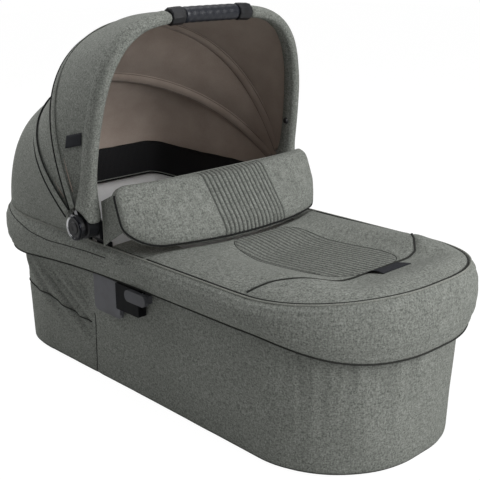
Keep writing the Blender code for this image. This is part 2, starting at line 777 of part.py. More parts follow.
def swept(path, normal, section, bore=None):
    """Carries a closed section along a flat path. The section holds (across, outwards), and may
    be a function of the point's number. A bore is carried the same way inside it."""
    def ring(n, shape):
        before, after = path[max(n - 1, 0)], path[min(n + 1, len(path) - 1)]
        side = normal.cross((after - before).normalized()).normalized()
        pairs = shape(n) if callable(shape) else shape
        return [path[n] + normal * a + side * b for a, b in pairs]

    def build(bm):
        rings = [ring(n, section) for n in range(len(path))]
        if bore is None:
            loft(rings, caps=True)(bm)
            return
        back = [ring(n, bore) for n in reversed(range(len(path)))]
        loft(rings + back, along=True)(bm)
    return build


def oval(across, out, sides):
    return [(across * cos(2 * pi * k / sides), out * sin(2 * pi * k / sides)) for k in range(sides)]


def bow_normal(lean):
    return Vector((cos(lean), 0.0, -sin(lean)))


HUB_PIVOT = (HUB_X, 0.0, HUB_Z)


class FrontLine:
    """The front bow's centre line as straight steps, which the tube and all that it carries
    share. Places on it are given by their distance from its right end."""

    def __init__(self):
        self.points = even_steps(arch(FRONT, TUBE_RADIUS + SLACK), TUBE_STEPS)
        self.step = (self.points[1] - self.points[0]).length
        self.length = self.step * TUBE_STEPS

    def at(self, run):
        k = min(int(run / self.step), TUBE_STEPS - 1)
        return self.points[k].lerp(self.points[k + 1], run / self.step - k)

    def run_where(self, passed):
        count = FINE * 4
        return next(self.length * k / count for k in range(count) if passed(self.at(self.length * k / count)))

    def piece(self, start, end):
        inner = [self.step * k for k in range(TUBE_STEPS + 1) if start + SLACK < self.step * k < end - SLACK]
        return [self.at(run) for run in [start] + inner + [end]]


def make_handle():
    line = FrontLine()
    normal = bow_normal(BOW_LEAN)
    start = line.run_where(lambda point: point.z > HUB_Z + COVER_START)
    collar_edge = line.run_where(lambda point: point.y > -GRIP_HALF - COLLAR_LONG)
    grip_edge = line.run_where(lambda point: point.y > -GRIP_HALF)
    wire("handle_tube", line.points, TUBE_RADIUS, STEEL, HUB_PIVOT)
    sides = COVER_SIDES
    bore = oval(TUBE_RADIUS + TUBE_CLEAR, TUBE_RADIUS + TUBE_CLEAR, sides)
    cover = oval(COVER_WIDE / 2, COVER_THICK / 2, sides)
    collar = oval(COLLAR_RADIUS, COLLAR_RADIUS, sides)
    grip = oval(GRIP_RADIUS, GRIP_RADIUS, sides)
    play = GAP + SLACK
    for name, section, low, high, finish in (
        ("handle_cover_", cover, start, collar_edge - play, MELANGE),
        ("grip_collar_", collar, collar_edge, grip_edge - play, BLACK),
    ):
        for side in ("right", "left"):
            ends = (low, high) if side == "right" else (line.length - high, line.length - low)
            build = swept(line.piece(*ends), normal, section, bore)
            part = place(name + side, mesh_of(name, build), finish, HUB_PIVOT)
            if section is collar:
                soften(part, SLACK * 2, 1)
    build = swept(line.piece(grip_edge, line.length - grip_edge), normal, grip, bore)
    place("handle_grip", mesh_of("grip", build), HIDE, HUB_PIVOT)


def make_strip_bow(name, shape):
    """A flat spring-steel bow whose two ends are ears on the hub axle."""
    lean, half = shape[0], shape[1]
    up = Vector((sin(lean), 0.0, cos(lean)))
    hub = Vector(HUB_PIVOT)
    top = even_steps(arch(shape, EAR_TAPER), BOW_STEPS)
    step = EAR_RUN * EAR_STEP_SHARE
    ends = [-EAR_RUN, -step, 0.0, step, EAR_RUN, EAR_TAPER * EAR_STEP_SHARE]
    right = [hub + up * out + Vector((0, -half, 0)) for out in ends]
    left = [hub + up * out + Vector((0, half, 0)) for out in reversed(ends)]
    path = right + top + left
    widths = [EAR_WIDE * share for share in EAR_SHARES] + [STRIP_WIDE]

    def section(n):
        edge = min(n, len(path) - 1 - n)
        wide = widths[edge] if edge < len(widths) else STRIP_WIDE
        a, b = wide / 2, STRIP_THICK / 2
        return [(a, b), (-a, b), (-a, -b), (a, -b)]

    part = place(name, mesh_of(name, swept(path, bow_normal(lean), section)), STEEL, HUB_PIVOT)
    reach = half + STRIP_THICK
    bores = solid(name + "_bore", rod_between(
        (HUB_X, -reach, HUB_Z), (HUB_X, reach, HUB_Z), HUB_BORE + GAP))
    cut(part, bores)


def polar_rows(first, last, rows, sag_share):
    """Lines between two hood edges, turned about the hub axle. A positive share draws the cloth
    in between its bows and a negative one lets it swell."""
    def polar(point):
        dx, dz = point[0] - HUB_X, point[2] - HUB_Z
        return hypot(dx, dz), atan2(dx, dz), point[1]

    result = []
    for n in range(rows + 1):
        share = n / rows
        pull = 1 - sag_share * 4 * share * (1 - share)
        line = []
        for a, b in zip(first, last):
            (ra, ta, ya), (rb, tb, yb) = polar(a), polar(b)
            if tb - ta > pi:
                tb -= 2 * pi
            out, turn, y = mix(ra, rb, share) * pull, mix(ta, tb, share), mix(ya, yb, share)
            line.append(Vector((HUB_X + out * sin(turn), y * mix(1, pull, 0.5), HUB_Z + out * cos(turn))))
        result.append(line)
    return result


def make_canopy():
    steps = BOW_STEPS
    inner_lift = STRIP_THICK / 2 + CANOPY_LIFT
    back_of_bow = bow_normal(BOW_LEAN) * -(COVER_WIDE / 2 + GAP * 2)

    def edges(lift):
        rim_in = BAND_EDGE_IN + BAND_THICK / 2 - (lift - inner_lift)
        front = [point + back_of_bow for point in even_steps(arch(FRONT, FRONT_PANEL_START, lift), steps)]
        rim = reversed(head_run(rim_in, -HUB_X + CANOPY_ROOT, GAP * 2))
        return (
            (front, even_steps(arch(MID, FRONT_PANEL_START, lift), steps)),
            (even_steps(arch(MID, CANOPY_START, lift), steps), even_steps(arch(REAR, CANOPY_START, lift), steps)),
            (even_steps(arch(REAR, CANOPY_START, lift), steps), even_steps(rim, steps)),
        )

    inner, outer = edges(inner_lift), edges(inner_lift + CANOPY_CLOTH)
    for number, (name, sag, finish) in enumerate((
        ("canopy_front", FRONT_SAG_SHARE, MELANGE),
        ("canopy_middle", MIDDLE_SAG_SHARE, MELANGE),
        ("canopy_back", -BACK_SWELL_SHARE, MELANGE),
    )):
        skins = []
        for lines in (outer, inner):
            rows = polar_rows(*lines[number], CANOPY_ROWS, sag)
            trimmed = [
                [a + (b - a).normalized() * GAP for a, b in zip(rows[end], rows[near])]
                for end, near in ((0, 1), (-1, -2))
            ]
            skins.append([trimmed[0]] + rows[1:-1] + [trimmed[1]])
        rings = [out_line + in_line[::-1] for out_line, in_line in zip(*skins)]
        place(name, mesh_of(name, loft(rings, caps=True)), finish, HUB_PIVOT)


def make_hub(side, sign):
    """Bracket, axle, drum, cap, chrome ring, button and its disc spring on one side."""
    def y_of(value):
        return sign * value

    x0, x1 = HUB_X - BRACKET_LONG / 2, HUB_X + BRACKET_LONG / 2
    face, back = DRUM_Y0 - GAP, DRUM_Y0 - GAP - HUB_PLATE
    foot = rim_top(HUB_X) - FRAME_DROP - FRAME_TALL
    turn_low, turn_high = rim_top(HUB_X) + BRACKET_CLIMB, HUB_Z - HUB_RADIUS
    outline = [
        (PLATE_IN_Y, foot), (PLATE_OUT_Y, foot), (PLATE_OUT_Y, turn_low), (face, turn_high),
        (face, HUB_Z), (back, HUB_Z), (back, turn_high + BRACKET_CLIMB),
        (PLATE_IN_Y, turn_low + BRACKET_CLIMB),
    ]
    bracket = place("hub_bracket_" + side, mesh_of(
        "bracket", prism([(y_of(y), z) for y, z in outline], x0, x1, axis="X")), BLACK)
    boss = rod_between((HUB_X, y_of(back), HUB_Z), (HUB_X, y_of(face), HUB_Z), BRACKET_LONG / 2 - GAP)
    join(bracket, solid("boss_" + side, boss))
    bore = rod_between((HUB_X, y_of(back - SLACK), HUB_Z), (HUB_X, y_of(face + SLACK), HUB_Z), HUB_BORE + GAP)
    cut(bracket, solid("bracket_bore_" + side, bore))

    recess = CAP_Y1 + BUTTON_PROUD - BUTTON_TRAVEL * 2 - CAP_WEB
    axle_end = recess - CAP_WEB - GAP
    profile = [
        (AXLE_HEAD_RADIUS, y_of(back - GAP - AXLE_HEAD)), (AXLE_HEAD_RADIUS, y_of(back - GAP)),
        (HUB_BORE, y_of(back - GAP)), (HUB_BORE, y_of(axle_end)),
    ]
    place("hub_axle_" + side, mesh_of("axle", turned(profile, HUB_PIVOT)), STEEL)

    edge = HUB_RADIUS - HUB_ROUND
    bore_r = HUB_BORE + GAP
    profile = [
        (bore_r, y_of(DRUM_Y0)), (edge, y_of(DRUM_Y0)), (HUB_RADIUS, y_of(DRUM_Y0 + HUB_ROUND)),
        (HUB_RADIUS, y_of(DRUM_Y1 - HUB_ROUND)), (edge, y_of(DRUM_Y1)), (bore_r, y_of(DRUM_Y1)),
        (bore_r, y_of(DRUM_Y0)),
    ]
    drum = place("handle_hub_" + side, mesh_of("drum", turned(profile, HUB_PIVOT, 24)), BLACK, HUB_PIVOT)
    up = Vector((sin(BOW_LEAN), 0.0, cos(BOW_LEAN)))
    seat = Vector((HUB_X, y_of(BOW_HALF), HUB_Z))
    cut(drum, solid("tube_seat_" + side, rod_between(
        seat + up * TUBE_RADIUS, seat + up * (HUB_RADIUS + SLACK), TUBE_RADIUS + SLACK)))

    well = BUTTON_RADIUS + GAP
    profile = [
        (bore_r, y_of(CAP_Y0)), (edge, y_of(CAP_Y0)), (HUB_RADIUS, y_of(CAP_Y0 + HUB_ROUND)),
        (HUB_RADIUS, y_of(CAP_Y1 - HUB_ROUND)), (edge, y_of(CAP_Y1)), (well, y_of(CAP_Y1)),
        (well, y_of(recess)), (bore_r / 2, y_of(recess)), (bore_r / 2, y_of(recess - CAP_WEB)),
        (bore_r, y_of(recess - CAP_WEB)), (bore_r, y_of(CAP_Y0)),
    ]
    place("hub_cap_" + side, mesh_of("cap", turned(profile, HUB_PIVOT, 24)), BLACK)

    low, high = CAP_Y1 + GAP, CAP_Y1 + GAP + TRIM_THICK
    profile = [
        (TRIM_IN, y_of(low)), (TRIM_OUT, y_of(low)), (TRIM_OUT, y_of(high - TRIM_THICK / 2)),
        (TRIM_OUT - TRIM_THICK / 2, y_of(high)), (TRIM_IN, y_of(high)), (TRIM_IN, y_of(low)),
    ]
    place("hub_trim_" + side, mesh_of("trim", turned(profile, HUB_PIVOT, 24)), CHROME)

    front = CAP_Y1 + BUTTON_PROUD
    base = recess + GAP + BUTTON_TRAVEL
    profile = [
        (BUTTON_RADIUS, y_of(base)), (BUTTON_RADIUS, y_of(front - HUB_ROUND / 2)),
        (BUTTON_RADIUS - HUB_ROUND / 2, y_of(front)), (BUTTON_RADIUS / 2, y_of(front)),
        (BUTTON_RADIUS / 3, y_of(front - HUB_ROUND / 3)),
    ]
    place("hub_button_" + side, mesh_of("button", turned(profile, HUB_PIVOT)), BLACK, (HUB_X, y_of(base), HUB_Z))
    inner, outer = BUTTON_RADIUS / 2, BUTTON_RADIUS * 0.85
    profile = [
        (outer, y_of(recess + GAP)), (inner, y_of(base - GAP - SLACK)), (inner, y_of(base - GAP)),
        (outer, y_of(recess + GAP + SLACK)), (outer, y_of(recess + GAP)),
    ]
    place("button_spring_" + side, mesh_of("spring", turned(profile, HUB_PIVOT, 16)), STEEL)


def make_adaptor(side, sign):
    """The grey plate on the frame, the black socket that takes the chassis post, and the
    sprung release lever that slides along it."""
    def y_of(value):
        return sign * value

    plate_top = rim_top(HUB_X) - FRAME_DROP - FRAME_TALL - GAP
    plate = place("adaptor_plate_" + side, mesh_of("plate", prism(
        rounded(PLATE_X0, PLATE_Z0, PLATE_X1, plate_top, PLATE_CORNER),
        y_of(PLATE_IN_Y), y_of(PLATE_OUT_Y))), GREY)
    pad_in = PLATE_CORNER * PAD_IN_SHARE
    pad_top = seam_height(PLATE_X0) - SLACK * 2
    join(plate, solid("plate_pad_" + side, prism(
        rounded(PLATE_X0 + pad_in, PLATE_Z0 + pad_in, PLATE_X1 - SLACK, pad_top, PLATE_CORNER / 2),
        y_of(PLATE_OUT_Y - PLATE_THICK / 2), y_of(PLATE_OUT_Y + PLATE_PAD))))

    block_x0 = PLATE_X1 + GAP
    block_y0, block_y1 = PLATE_IN_Y, PLATE_IN_Y + BLOCK_DEEP
    block_top = seam_height(PLATE_X1) - SLACK
    block = place("adaptor_socket_" + side, mesh_of("socket", prism(
        rounded(block_x0, BLOCK_Z0, BLOCK_X1, block_top, BLOCK_WALL / 2, 2),
        y_of(block_y0), y_of(block_y1))), BLACK)
    pocket = [block_y0 + BLOCK_WALL, block_y1 - BLOCK_WALL]
    low = (block_x0 + BLOCK_WALL, min(y_of(y) for y in pocket), BLOCK_Z0 - SLACK)
    high = (BLOCK_X1 - BLOCK_WALL, max(y_of(y) for y in pocket), block_top - BLOCK_ROOF)
    cut(block, solid("post_pocket_" + side, box_between(low, high)))

    lever_top = block_top
    lever_low = lever_top - LEVER_TALL
    middle = (lever_top + lever_low) / 2
    groove_half = TONGUE_TALL / 2 + GAP
    y_groove = [block_y1 - TONGUE_DEEP - GAP, block_y1 + SLACK]
    low = (LEVER_X0 - LEVER_TRAVEL - GAP, min(y_of(y) for y in y_groove), middle - groove_half)
    high = (BLOCK_X1 + SLACK, max(y_of(y) for y in y_groove), middle + groove_half)
    cut(block, solid("lever_groove_" + side, box_between(low, high)))

    lever_y0 = block_y1 + GAP
    lever_y1 = lever_y0 + LEVER_THICK
    pivot = (LEVER_X1, y_of(lever_y0), middle)
    lever = place("release_lever_" + side, mesh_of("lever", prism(
        rounded(LEVER_X0, lever_low, LEVER_X1, lever_top, LEVER_TALL * LEVER_ROUND_SHARE, 5),
        y_of(lever_y0), y_of(lever_y1))), GREY, pivot)
    nose_x0 = BLOCK_X1 + GAP + LEVER_TRAVEL
    nose_y = [block_y0 + BLOCK_DEEP / 3, lever_y0 + SLACK]
    pieces = (
        ((nose_x0, min(y_of(y) for y in nose_y), lever_low + BLOCK_WALL),
         (LEVER_X1 - LEVER_TALL / 4, max(y_of(y) for y in nose_y), lever_top - BLOCK_WALL)),
        ((LEVER_X0 + SLACK, min(y_of(lever_y0 + SLACK), y_of(block_y1 - TONGUE_DEEP)), middle - TONGUE_TALL / 2),
         (BLOCK_X1 - BLOCK_WALL, max(y_of(lever_y0 + SLACK), y_of(block_y1 - TONGUE_DEEP)), middle + TONGUE_TALL / 2)),
    )
    for number, (low, high) in enumerate(pieces):
        join(lever, solid(f"lever_piece_{side}_{number}", box_between(low, high)))

    start, end = BLOCK_X1 + GAP, nose_x0 - GAP
    spring_y = (block_y0 + BLOCK_DEEP / 3, block_y1 - TONGUE_DEEP - SLACK)
    fold = spring_y[1] - spring_y[0]
    outline = [
        (start, spring_y[0]), (start + SPRING_THICK, spring_y[0]),
        ((start + end) / 2, spring_y[1] - SPRING_THICK * 2), (end - SPRING_THICK, spring_y[0]),
        (end, spring_y[0]), ((start + end) / 2 + fold / 30, spring_y[1]), ((start + end) / 2 - fold / 30, spring_y[1]),
    ]
    rings = [
        [(x, y_of(y), z) for x, y in outline] for z in (middle - SPRING_TALL / 2, middle + SPRING_TALL / 2)
    ]
    place("lever_spring_" + side, mesh_of("leaf", loft(rings, caps=True)), STEEL)


def make_studs():
    """The snap studs on the inner faces of the front bow."""
    path_angle = asin((STUD_HEIGHT / BOW_RISE) ** (BOW_TOP_POWER / 2))
    for side, sign in (("right", -1), ("left", 1)):
        point = arch_point(path_angle, *FRONT)
        y = abs(point.y) - COVER_THICK / 2 * cos(pi / COVER_SIDES) - SLACK
        start, end = (point.x, sign * y, point.z), (point.x, sign * (y - STUD_THICK), point.z)
        place("snap_stud_" + side, mesh_of("stud", rod_between(
            start, end, STUD_RADIUS, STUD_RADIUS * STUD_TIP_SHARE, STUD_SIDES)), BLACK, HUB_PIVOT)


def apron_columns(half):
    """Y places across the apron or the flap: two to a rib in the middle, wider outside."""
    pitch = RIB_HALF / RIB_COUNT
    ribs = [pitch * (k - RIB_COUNT) for k in range(2 * RIB_COUNT + 1)]
    outside = 7
    left = [mix(RIB_HALF, half, sin(pi / 2 * k / outside)) for k in range(1, outside + 1)]
    return [-y for y in reversed(left)] + ribs + left


def rib_dip(y):
    """How far the quilting is drawn in at this Y: nothing on a rib, the full depth between."""
    number = round(abs(y) / (RIB_HALF / RIB_COUNT))
    return RIB_DEPTH if abs(y) < RIB_HALF + GAP and number % 2 == 0 else 0.0


def apron_head(y):
    return APRON_HEAD_X - APRON_HEAD_BOW * (abs(y) / (WIDTH / 2)) ** APRON_HEAD_POWER


def apron_top(x, y, inset):
    """Height of the apron over a point: it rises steeply from its edge to a broad dome, and the
    quilted middle sags between its padded borders."""
    start = WIDTH / 2 - FOOT_CORNER_WIDE
    across = max(abs(y) - start, 0.0) / (FOOT_CORNER_WIDE - inset)
    ahead = max(x - (LENGTH / 2 - FOOT_CORNER_LONG), 0.0) / (FOOT_CORNER_LONG - inset)
    share = min(1.0, (across ** FOOT_POWER + ahead ** FOOT_POWER) ** (1 / FOOT_POWER))
    along = (x - APRON_HEAD_X) / (APRON_CROWN_X - APRON_HEAD_X)
    crown = mix(APRON_CROWN_HEAD, APRON_CROWN, min(max(along, 0.0), 1.0))
    inward = ease((APRON_SAG_HALF - abs(y)) / (APRON_SAG_HALF - APRON_SAG_FLAT))
    onward = ease((x - APRON_HEAD_X) / APRON_SAG_LONG)
    onward *= ease((LENGTH / 2 - APRON_SAG_FOOT_IN - x) / APRON_SAG_FOOT_LONG)
    height = crown * (1 - share ** APRON_CROWN_POWER) - APRON_SAG * inward * onward
    return rim_top(x) + height, share


def make_apron():
    inset = BAND_EDGE_IN + BAND_THICK + GAP * 3
    half = WIDTH / 2 - inset
    head_rows, foot_rows = 5, 4
    tops, lows = [], []
    for y in apron_columns(half):
        near, far = apron_head(y), foot_reach(y, inset)
        seam = min(APRON_SEAM_X - APRON_SEAM_BOW * (abs(y) / (WIDTH / 2)) ** APRON_SEAM_POWER,
                   mix(near, far, APRON_SEAM_SHARE))
        xs = [mix(near, seam, k / head_rows) for k in range(head_rows + 1)]
        xs += [mix(seam, far, sin(pi / 2 * k / foot_rows)) for k in range(1, foot_rows + 1)]
        top, low = [], []
        for k, x in enumerate(xs):
            z, share = apron_top(x, y, inset)
            dip = rib_dip(y) if 0 < k < head_rows else 0.0
            dip = APRON_SEAM_DIP if k == head_rows and share < 1 - SLACK else dip
            thick = mix(APRON_EDGE_THICK, APRON_THICK, 1 - share ** APRON_CROWN_POWER)
            top.append((x, y, z - dip))
            low.append((x, y, z - thick))
        tops.append(top)
        lows.append(low)

    sections = [top + list(reversed(low)) for top, low in zip(tops, lows)]
    place("apron", mesh_of("apron", loft(sections, caps=True)), MELANGE)


def make_flap():
    """The padded wind flap: a curved upright cushion with round lower corners and channels."""
    span = FLAP_HALF
    columns = apron_columns(span)
    sections = []
    for y in columns:
        t = abs(y) / span
        low = Vector((FLAP_BASE_X - FLAP_BASE_BOW * t ** FLAP_BOW_POWER, y, FLAP_BASE_Z + FLAP_BASE_CLIMB * t ** 2))
        high = Vector((FLAP_TOP_X - FLAP_TOP_BOW * t ** 2, y, FLAP_TOP_Z - FLAP_TOP_FALL * t ** 2))
        rise = high - low
        tall = rise.length
        past_low = min(max(0.0, (abs(y) - (span - FLAP_LOW_CORNER)) / FLAP_LOW_CORNER), 1.0)
        past_top = min(max(0.0, (abs(y) - (span - FLAP_TOP_CORNER)) / FLAP_TOP_CORNER), 1.0)
        cut_low = FLAP_LOW_CORNER * FLAP_CORNER_SHARE * (1 - (1 - past_low ** 2) ** 0.5)
        cut_top = FLAP_TOP_CORNER * (1 - (1 - past_top ** 2) ** 0.5)
        up = rise.normalized()
        low, tall = low + up * cut_low, tall - cut_low - cut_top
        out = Vector((up.z, 0.0, -up.x)).normalized()
        thick = mix(FLAP_THICK, FLAP_END_THICK, ease((t - FLAP_END_SHARE) / (1 - FLAP_END_SHARE)))
        dip = rib_dip(y)
        front, back = [], []
        for share in FLAP_ROW_SHARES:
            swell = (4 * share * (1 - share)) ** FLAP_BULGE_POWER
            bulge = max(swell, FLAP_EDGE_SHARE)
            front.append(low + up * tall * share + out * (thick * FLAP_FRONT_SHARE * bulge - dip))
            back.append(low + up * tall * share - out * (thick * (1 - FLAP_FRONT_SHARE) * bulge))
        sections.append([tuple(point) for point in front + list(reversed(back))])
    place("wind_flap", mesh_of("wind_flap", loft(sections, caps=True)), MELANGE,
          (FLAP_BASE_X + FLAP_THICK / 2, 0.0, FLAP_BASE_Z))


make_base()
make_mattress()
make_rim_frame()
make_rim_band()
make_skirt()
make_liner()
make_vent_band()
make_stands()
make_handle()
make_strip_bow("mid_bow", MID)
make_strip_bow("rear_bow", REAR)
make_canopy()
for hub_side, hub_sign in (("right", -1), ("left", 1)):
    make_hub(hub_side, hub_sign)
    make_adaptor(hub_side, hub_sign)
make_studs()
make_apron()
make_flap()
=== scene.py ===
from math import asin, atan2, cos, exp, hypot, pi, radians, sin

import bmesh
import bpy
from mathutils import Matrix, Vector, noise
from mathutils.bvhtree import BVHTree
from mathutils.kdtree import KDTree


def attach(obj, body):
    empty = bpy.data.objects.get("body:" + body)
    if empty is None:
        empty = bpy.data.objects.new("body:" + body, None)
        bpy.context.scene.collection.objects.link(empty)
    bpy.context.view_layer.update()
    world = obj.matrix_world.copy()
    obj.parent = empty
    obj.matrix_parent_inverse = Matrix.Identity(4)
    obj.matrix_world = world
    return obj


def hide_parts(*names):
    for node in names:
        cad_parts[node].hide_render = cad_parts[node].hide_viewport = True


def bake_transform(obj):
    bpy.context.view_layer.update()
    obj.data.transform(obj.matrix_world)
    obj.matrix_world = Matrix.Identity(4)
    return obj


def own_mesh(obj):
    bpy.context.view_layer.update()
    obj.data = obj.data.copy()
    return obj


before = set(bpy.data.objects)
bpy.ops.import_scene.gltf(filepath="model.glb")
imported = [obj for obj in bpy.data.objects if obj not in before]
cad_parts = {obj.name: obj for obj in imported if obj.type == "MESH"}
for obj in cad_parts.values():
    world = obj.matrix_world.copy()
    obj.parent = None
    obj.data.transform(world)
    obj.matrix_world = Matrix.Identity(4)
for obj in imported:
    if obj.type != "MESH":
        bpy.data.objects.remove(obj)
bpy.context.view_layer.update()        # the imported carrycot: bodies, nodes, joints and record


# camera, at the photograph's angle
shot = {"turn": 46.58, "tilt": 17.33, "roll": -0.50, "aim": (0.0399, 0.0, 0.2493), "away": 1.508,
        "lens": 70.06, "shiftX": -0.0138, "shiftY": -0.001}


def placeCamera():
    turn, tilt, roll = (radians(shot[key]) for key in ("turn", "tilt", "roll"))
    ahead = Vector((-sin(turn) * cos(tilt), cos(turn) * cos(tilt), -sin(tilt)))
    right = Vector((cos(turn), sin(turn), 0.0))
    up = right.cross(ahead)
    rightNow = right * cos(roll) + up * sin(roll)
    upNow = up * cos(roll) - right * sin(roll)
    at = Vector(shot["aim"]) - ahead * shot["away"]
    lens = bpy.data.cameras.new("camera")
    lens.lens, lens.sensor_width = shot["lens"], 36.0
    lens.shift_x, lens.shift_y = shot["shiftX"], shot["shiftY"]
    camera = bpy.data.objects.new("camera", lens)
    bpy.context.scene.collection.objects.link(camera)
    camera.matrix_world = Matrix((
        (rightNow.x, upNow.x, -ahead.x, at.x), (rightNow.y, upNow.y, -ahead.y, at.y),
        (rightNow.z, upNow.z, -ahead.z, at.z), (0, 0, 0, 1)))
    bpy.context.scene.camera = camera


placeCamera()


# small helpers
def clamp(share):
    return min(max(share, 0.0), 1.0)


def ease(share):
    share = clamp(share)
    return share * share * (3 - 2 * share)


def mix(a, b, share):
    return a + (b - a) * share


def hump(distance, reach):
    return exp(-(distance / reach) ** 2)


def through(table, x, shape=clamp):
    for (x0, v0), (x1, v1) in zip(table, table[1:]):
        if x <= x1:
            return mix(v0, v1, shape((x - x0) / (x1 - x0)))
    return table[-1][1]


def signedPower(value, power):
    return abs(value) ** power * (1 if value > 0 else -1)


def gridRows(lines, columns, at):
    return [[at(line / lines, column / columns) for column in range(columns + 1)] for line in range(lines + 1)]


def upward(point):
    return Vector((0, 0, 1))


def fromAxis(point):
    return Vector((point.x, point.y, 0.0))


def toMiddle(point):  # from the shell's outside towards its long middle line
    return (Vector((min(max(point.x, -0.36), 0.26), 0.0, point.z)) - point).normalized()


bothSides = (("right", -1), ("left", 1))
bothEdges = (("front", 1), ("back", -1))


def linear(code):  # sRGB hex to linear
    parts = [int(code[k:k + 2], 16) / 255 for k in (1, 3, 5)]
    return tuple(v / 12.92 if v <= 0.04045 else ((v + 0.055) / 1.055) ** 2.4 for v in parts) + (1.0,)


def addNode(tree, kind, settings=None, links=None):
    node = tree.nodes.new("ShaderNode" + kind)
    for key, value in (settings or {}).items():
        if isinstance(key, int) or key in node.inputs:
            node.inputs[key].default_value = value
        else:
            setattr(node, key, value)
    for key, source in (links or {}).items():  # a node stands for its first output
        tree.links.new(getattr(source, "outputs", [source])[0], node.inputs[key])
    return node


def emptied(block):
    block.use_nodes = True
    block.node_tree.nodes.clear()
    return block.node_tree


def newFinish(name):
    finish = bpy.data.materials.new(name)
    tree = emptied(finish)
    spot = addNode(tree, "TexCoord")
    return finish, tree, {"Vector": spot.outputs["Object"]}, {"Vector": spot.outputs["UV"]}


def layTones(tree, look, first, layers):
    # the first tone, and each further one laid over it by its own share
    under = None
    for key, share in layers:
        settings, links = {"data_type": "RGBA", 7: linear(look[key])}, {0: share}
        if under:
            links[6] = under
        else:
            settings[6] = linear(look[first])
        under = addNode(tree, "Mix", settings, links).outputs[2]
    return under


def closeFinish(finish, colour, settings, rough, relief):
    # rough and relief each give their node's settings and what drives it
    tree = finish.node_tree
    worn = addNode(tree, "MapRange", rough[0], {"Value": rough[1]})
    bump = addNode(tree, "Bump", relief[0], {"Height": relief[1]})
    shader = addNode(tree, "BsdfPrincipled", settings, {"Base Color": colour, "Roughness": worn, "Normal": bump})
    addNode(tree, "OutputMaterial", {}, {"Surface": shader})
    finish.diffuse_color = (0.3, 0.3, 0.3, 1)
    return finish


# finishes: what each real material gives the eye
bandUnit = 0.314  # a wave texture's band, as a share of its unit


def heatherCloth(name, look):
    # heather polyester: dark and pale yarn twisted together, so it mottles at 1 to 3 mm
    finish, tree, onPiece, onThreads = newFinish(name)
    fleck = addNode(tree, "TexNoise", {"Scale": 1 / look["fleck"], "Detail": 3.0, "Roughness": 0.7}, onPiece)
    across, along = 1 / look["yarn"], 0.30 / look["yarn"]
    slubs, waves = [], []  # of the warp and of the weft; the waves draw a plain weave at the yarn's pitch
    for way, scale in (("X", (across, along, 1.0)), ("Y", (along, across, 1.0))):
        turned = addNode(tree, "Mapping", {"Scale": scale}, onThreads)
        slubs.append(addNode(tree, "TexNoise", {"Scale": 0.55, "Detail": 1.0}, {"Vector": turned}))
        waves.append(addNode(tree, "TexWave", {"bands_direction": way, "Scale": bandUnit / look["yarn"],
                                               "Distortion": 0.6, "Detail": 1.0}, onThreads).outputs["Fac"])
    yarns = addNode(tree, "Math", {"operation": "ADD"}, {0: slubs[0], 1: slubs[1]})
    together = addNode(tree, "Math", {"operation": "MULTIPLY_ADD", 1: 0.28}, {0: yarns, 2: fleck})
    tone = addNode(tree, "MapRange", {"From Min": 0.58, "From Max": 0.98}, {"Value": together})
    cloud = addNode(tree, "TexNoise", {"Scale": 14.0, "Detail": 2.0}, onPiece)
    soft = addNode(tree, "MapRange", {"From Min": 0.3, "From Max": 0.7, "To Max": 0.16}, {"Value": cloud})
    # painted shade: the groove attribute darkens the cloth towards its deep tone in rib grooves and fold hollows
    groove = addNode(tree, "Attribute", {"attribute_name": "groove"}).outputs["Fac"]
    weave = addNode(tree, "Math", {"operation": "MAXIMUM"}, {0: waves[0], 1: waves[1]})
    height = addNode(tree, "Math", {"operation": "MULTIPLY_ADD", 1: 0.6}, {0: weave, 2: together})
    return closeFinish(finish, layTones(tree, look, "dark", (("pale", tone), ("dark", soft), ("deep", groove))),
                       {"IOR": 1.5, "Specular IOR Level": 0.25, "Sheen Weight": look["sheen"],
                        "Sheen Roughness": 0.45, "Sheen Tint": linear(look["pale"])},
                       ({"To Min": 0.80, "To Max": 0.94}, together),
                       ({"Strength": look["bump"], "Distance": 0.0006}, height))


def knitCloth(name, look):
    # brushed jersey: a soft even tone, faint columns of stitches
    finish, tree, onPiece, onThreads = newFinish(name)
    cloud = addNode(tree, "TexNoise", {"Scale": 26.0, "Detail": 4.0}, onPiece)
    fluff = addNode(tree, "TexNoise", {"Scale": 900.0, "Detail": 2.0}, onPiece)
    blend = addNode(tree, "Math", {"operation": "ADD"}, {0: cloud, 1: fluff})
    tone = addNode(tree, "MapRange", {"From Min": 0.7, "From Max": 1.3}, {"Value": blend})
    # painted shade: the groove attribute darkens the jersey towards its deep tone
    groove = addNode(tree, "Attribute", {"attribute_name": "groove"}).outputs["Fac"]
    wale = addNode(tree, "TexWave", {"bands_direction": "X", "Scale": bandUnit / look["wale"], "Distortion": 1.2,
                                     "Detail": 2.0}, onThreads).outputs["Fac"]
    height = addNode(tree, "Math", {"operation": "MULTIPLY_ADD", 1: 0.5}, {0: wale, 2: fluff})
    return closeFinish(finish, layTones(tree, look, "dark", (("pale", tone), ("deep", groove))),
                       {"IOR": 1.5, "Specular IOR Level": 0.2, "Sheen Weight": 0.25, "Sheen Roughness": 0.5},
                       ({"To Min": 0.82, "To Max": 0.96}, cloud), ({"Strength": 0.22, "Distance": 0.0005}, height))


def netCloth(name, look):
    # open polyester mesh: black, with round holes 2 mm apart; the holes are drawn darker than the thread, painted
    # shade for the dark seen through them
    finish, tree, _, onThreads = newFinish(name)
    cell = addNode(tree, "TexVoronoi", {"Scale": 1 / look["hole"], "Randomness": 0.15}, onThreads)
    thread = addNode(tree, "MapRange", {"From Min": 0.25, "From Max": 0.5}, {"Value": cell})
    return closeFinish(finish, layTones(tree, look, "hollow", (("thread", thread),)),
                       {"IOR": 1.5, "Specular IOR Level": 0.3}, ({"To Min": 0.9, "To Max": 0.6}, thread),
                       ({"Strength": 0.5, "Distance": 0.0006}, thread))


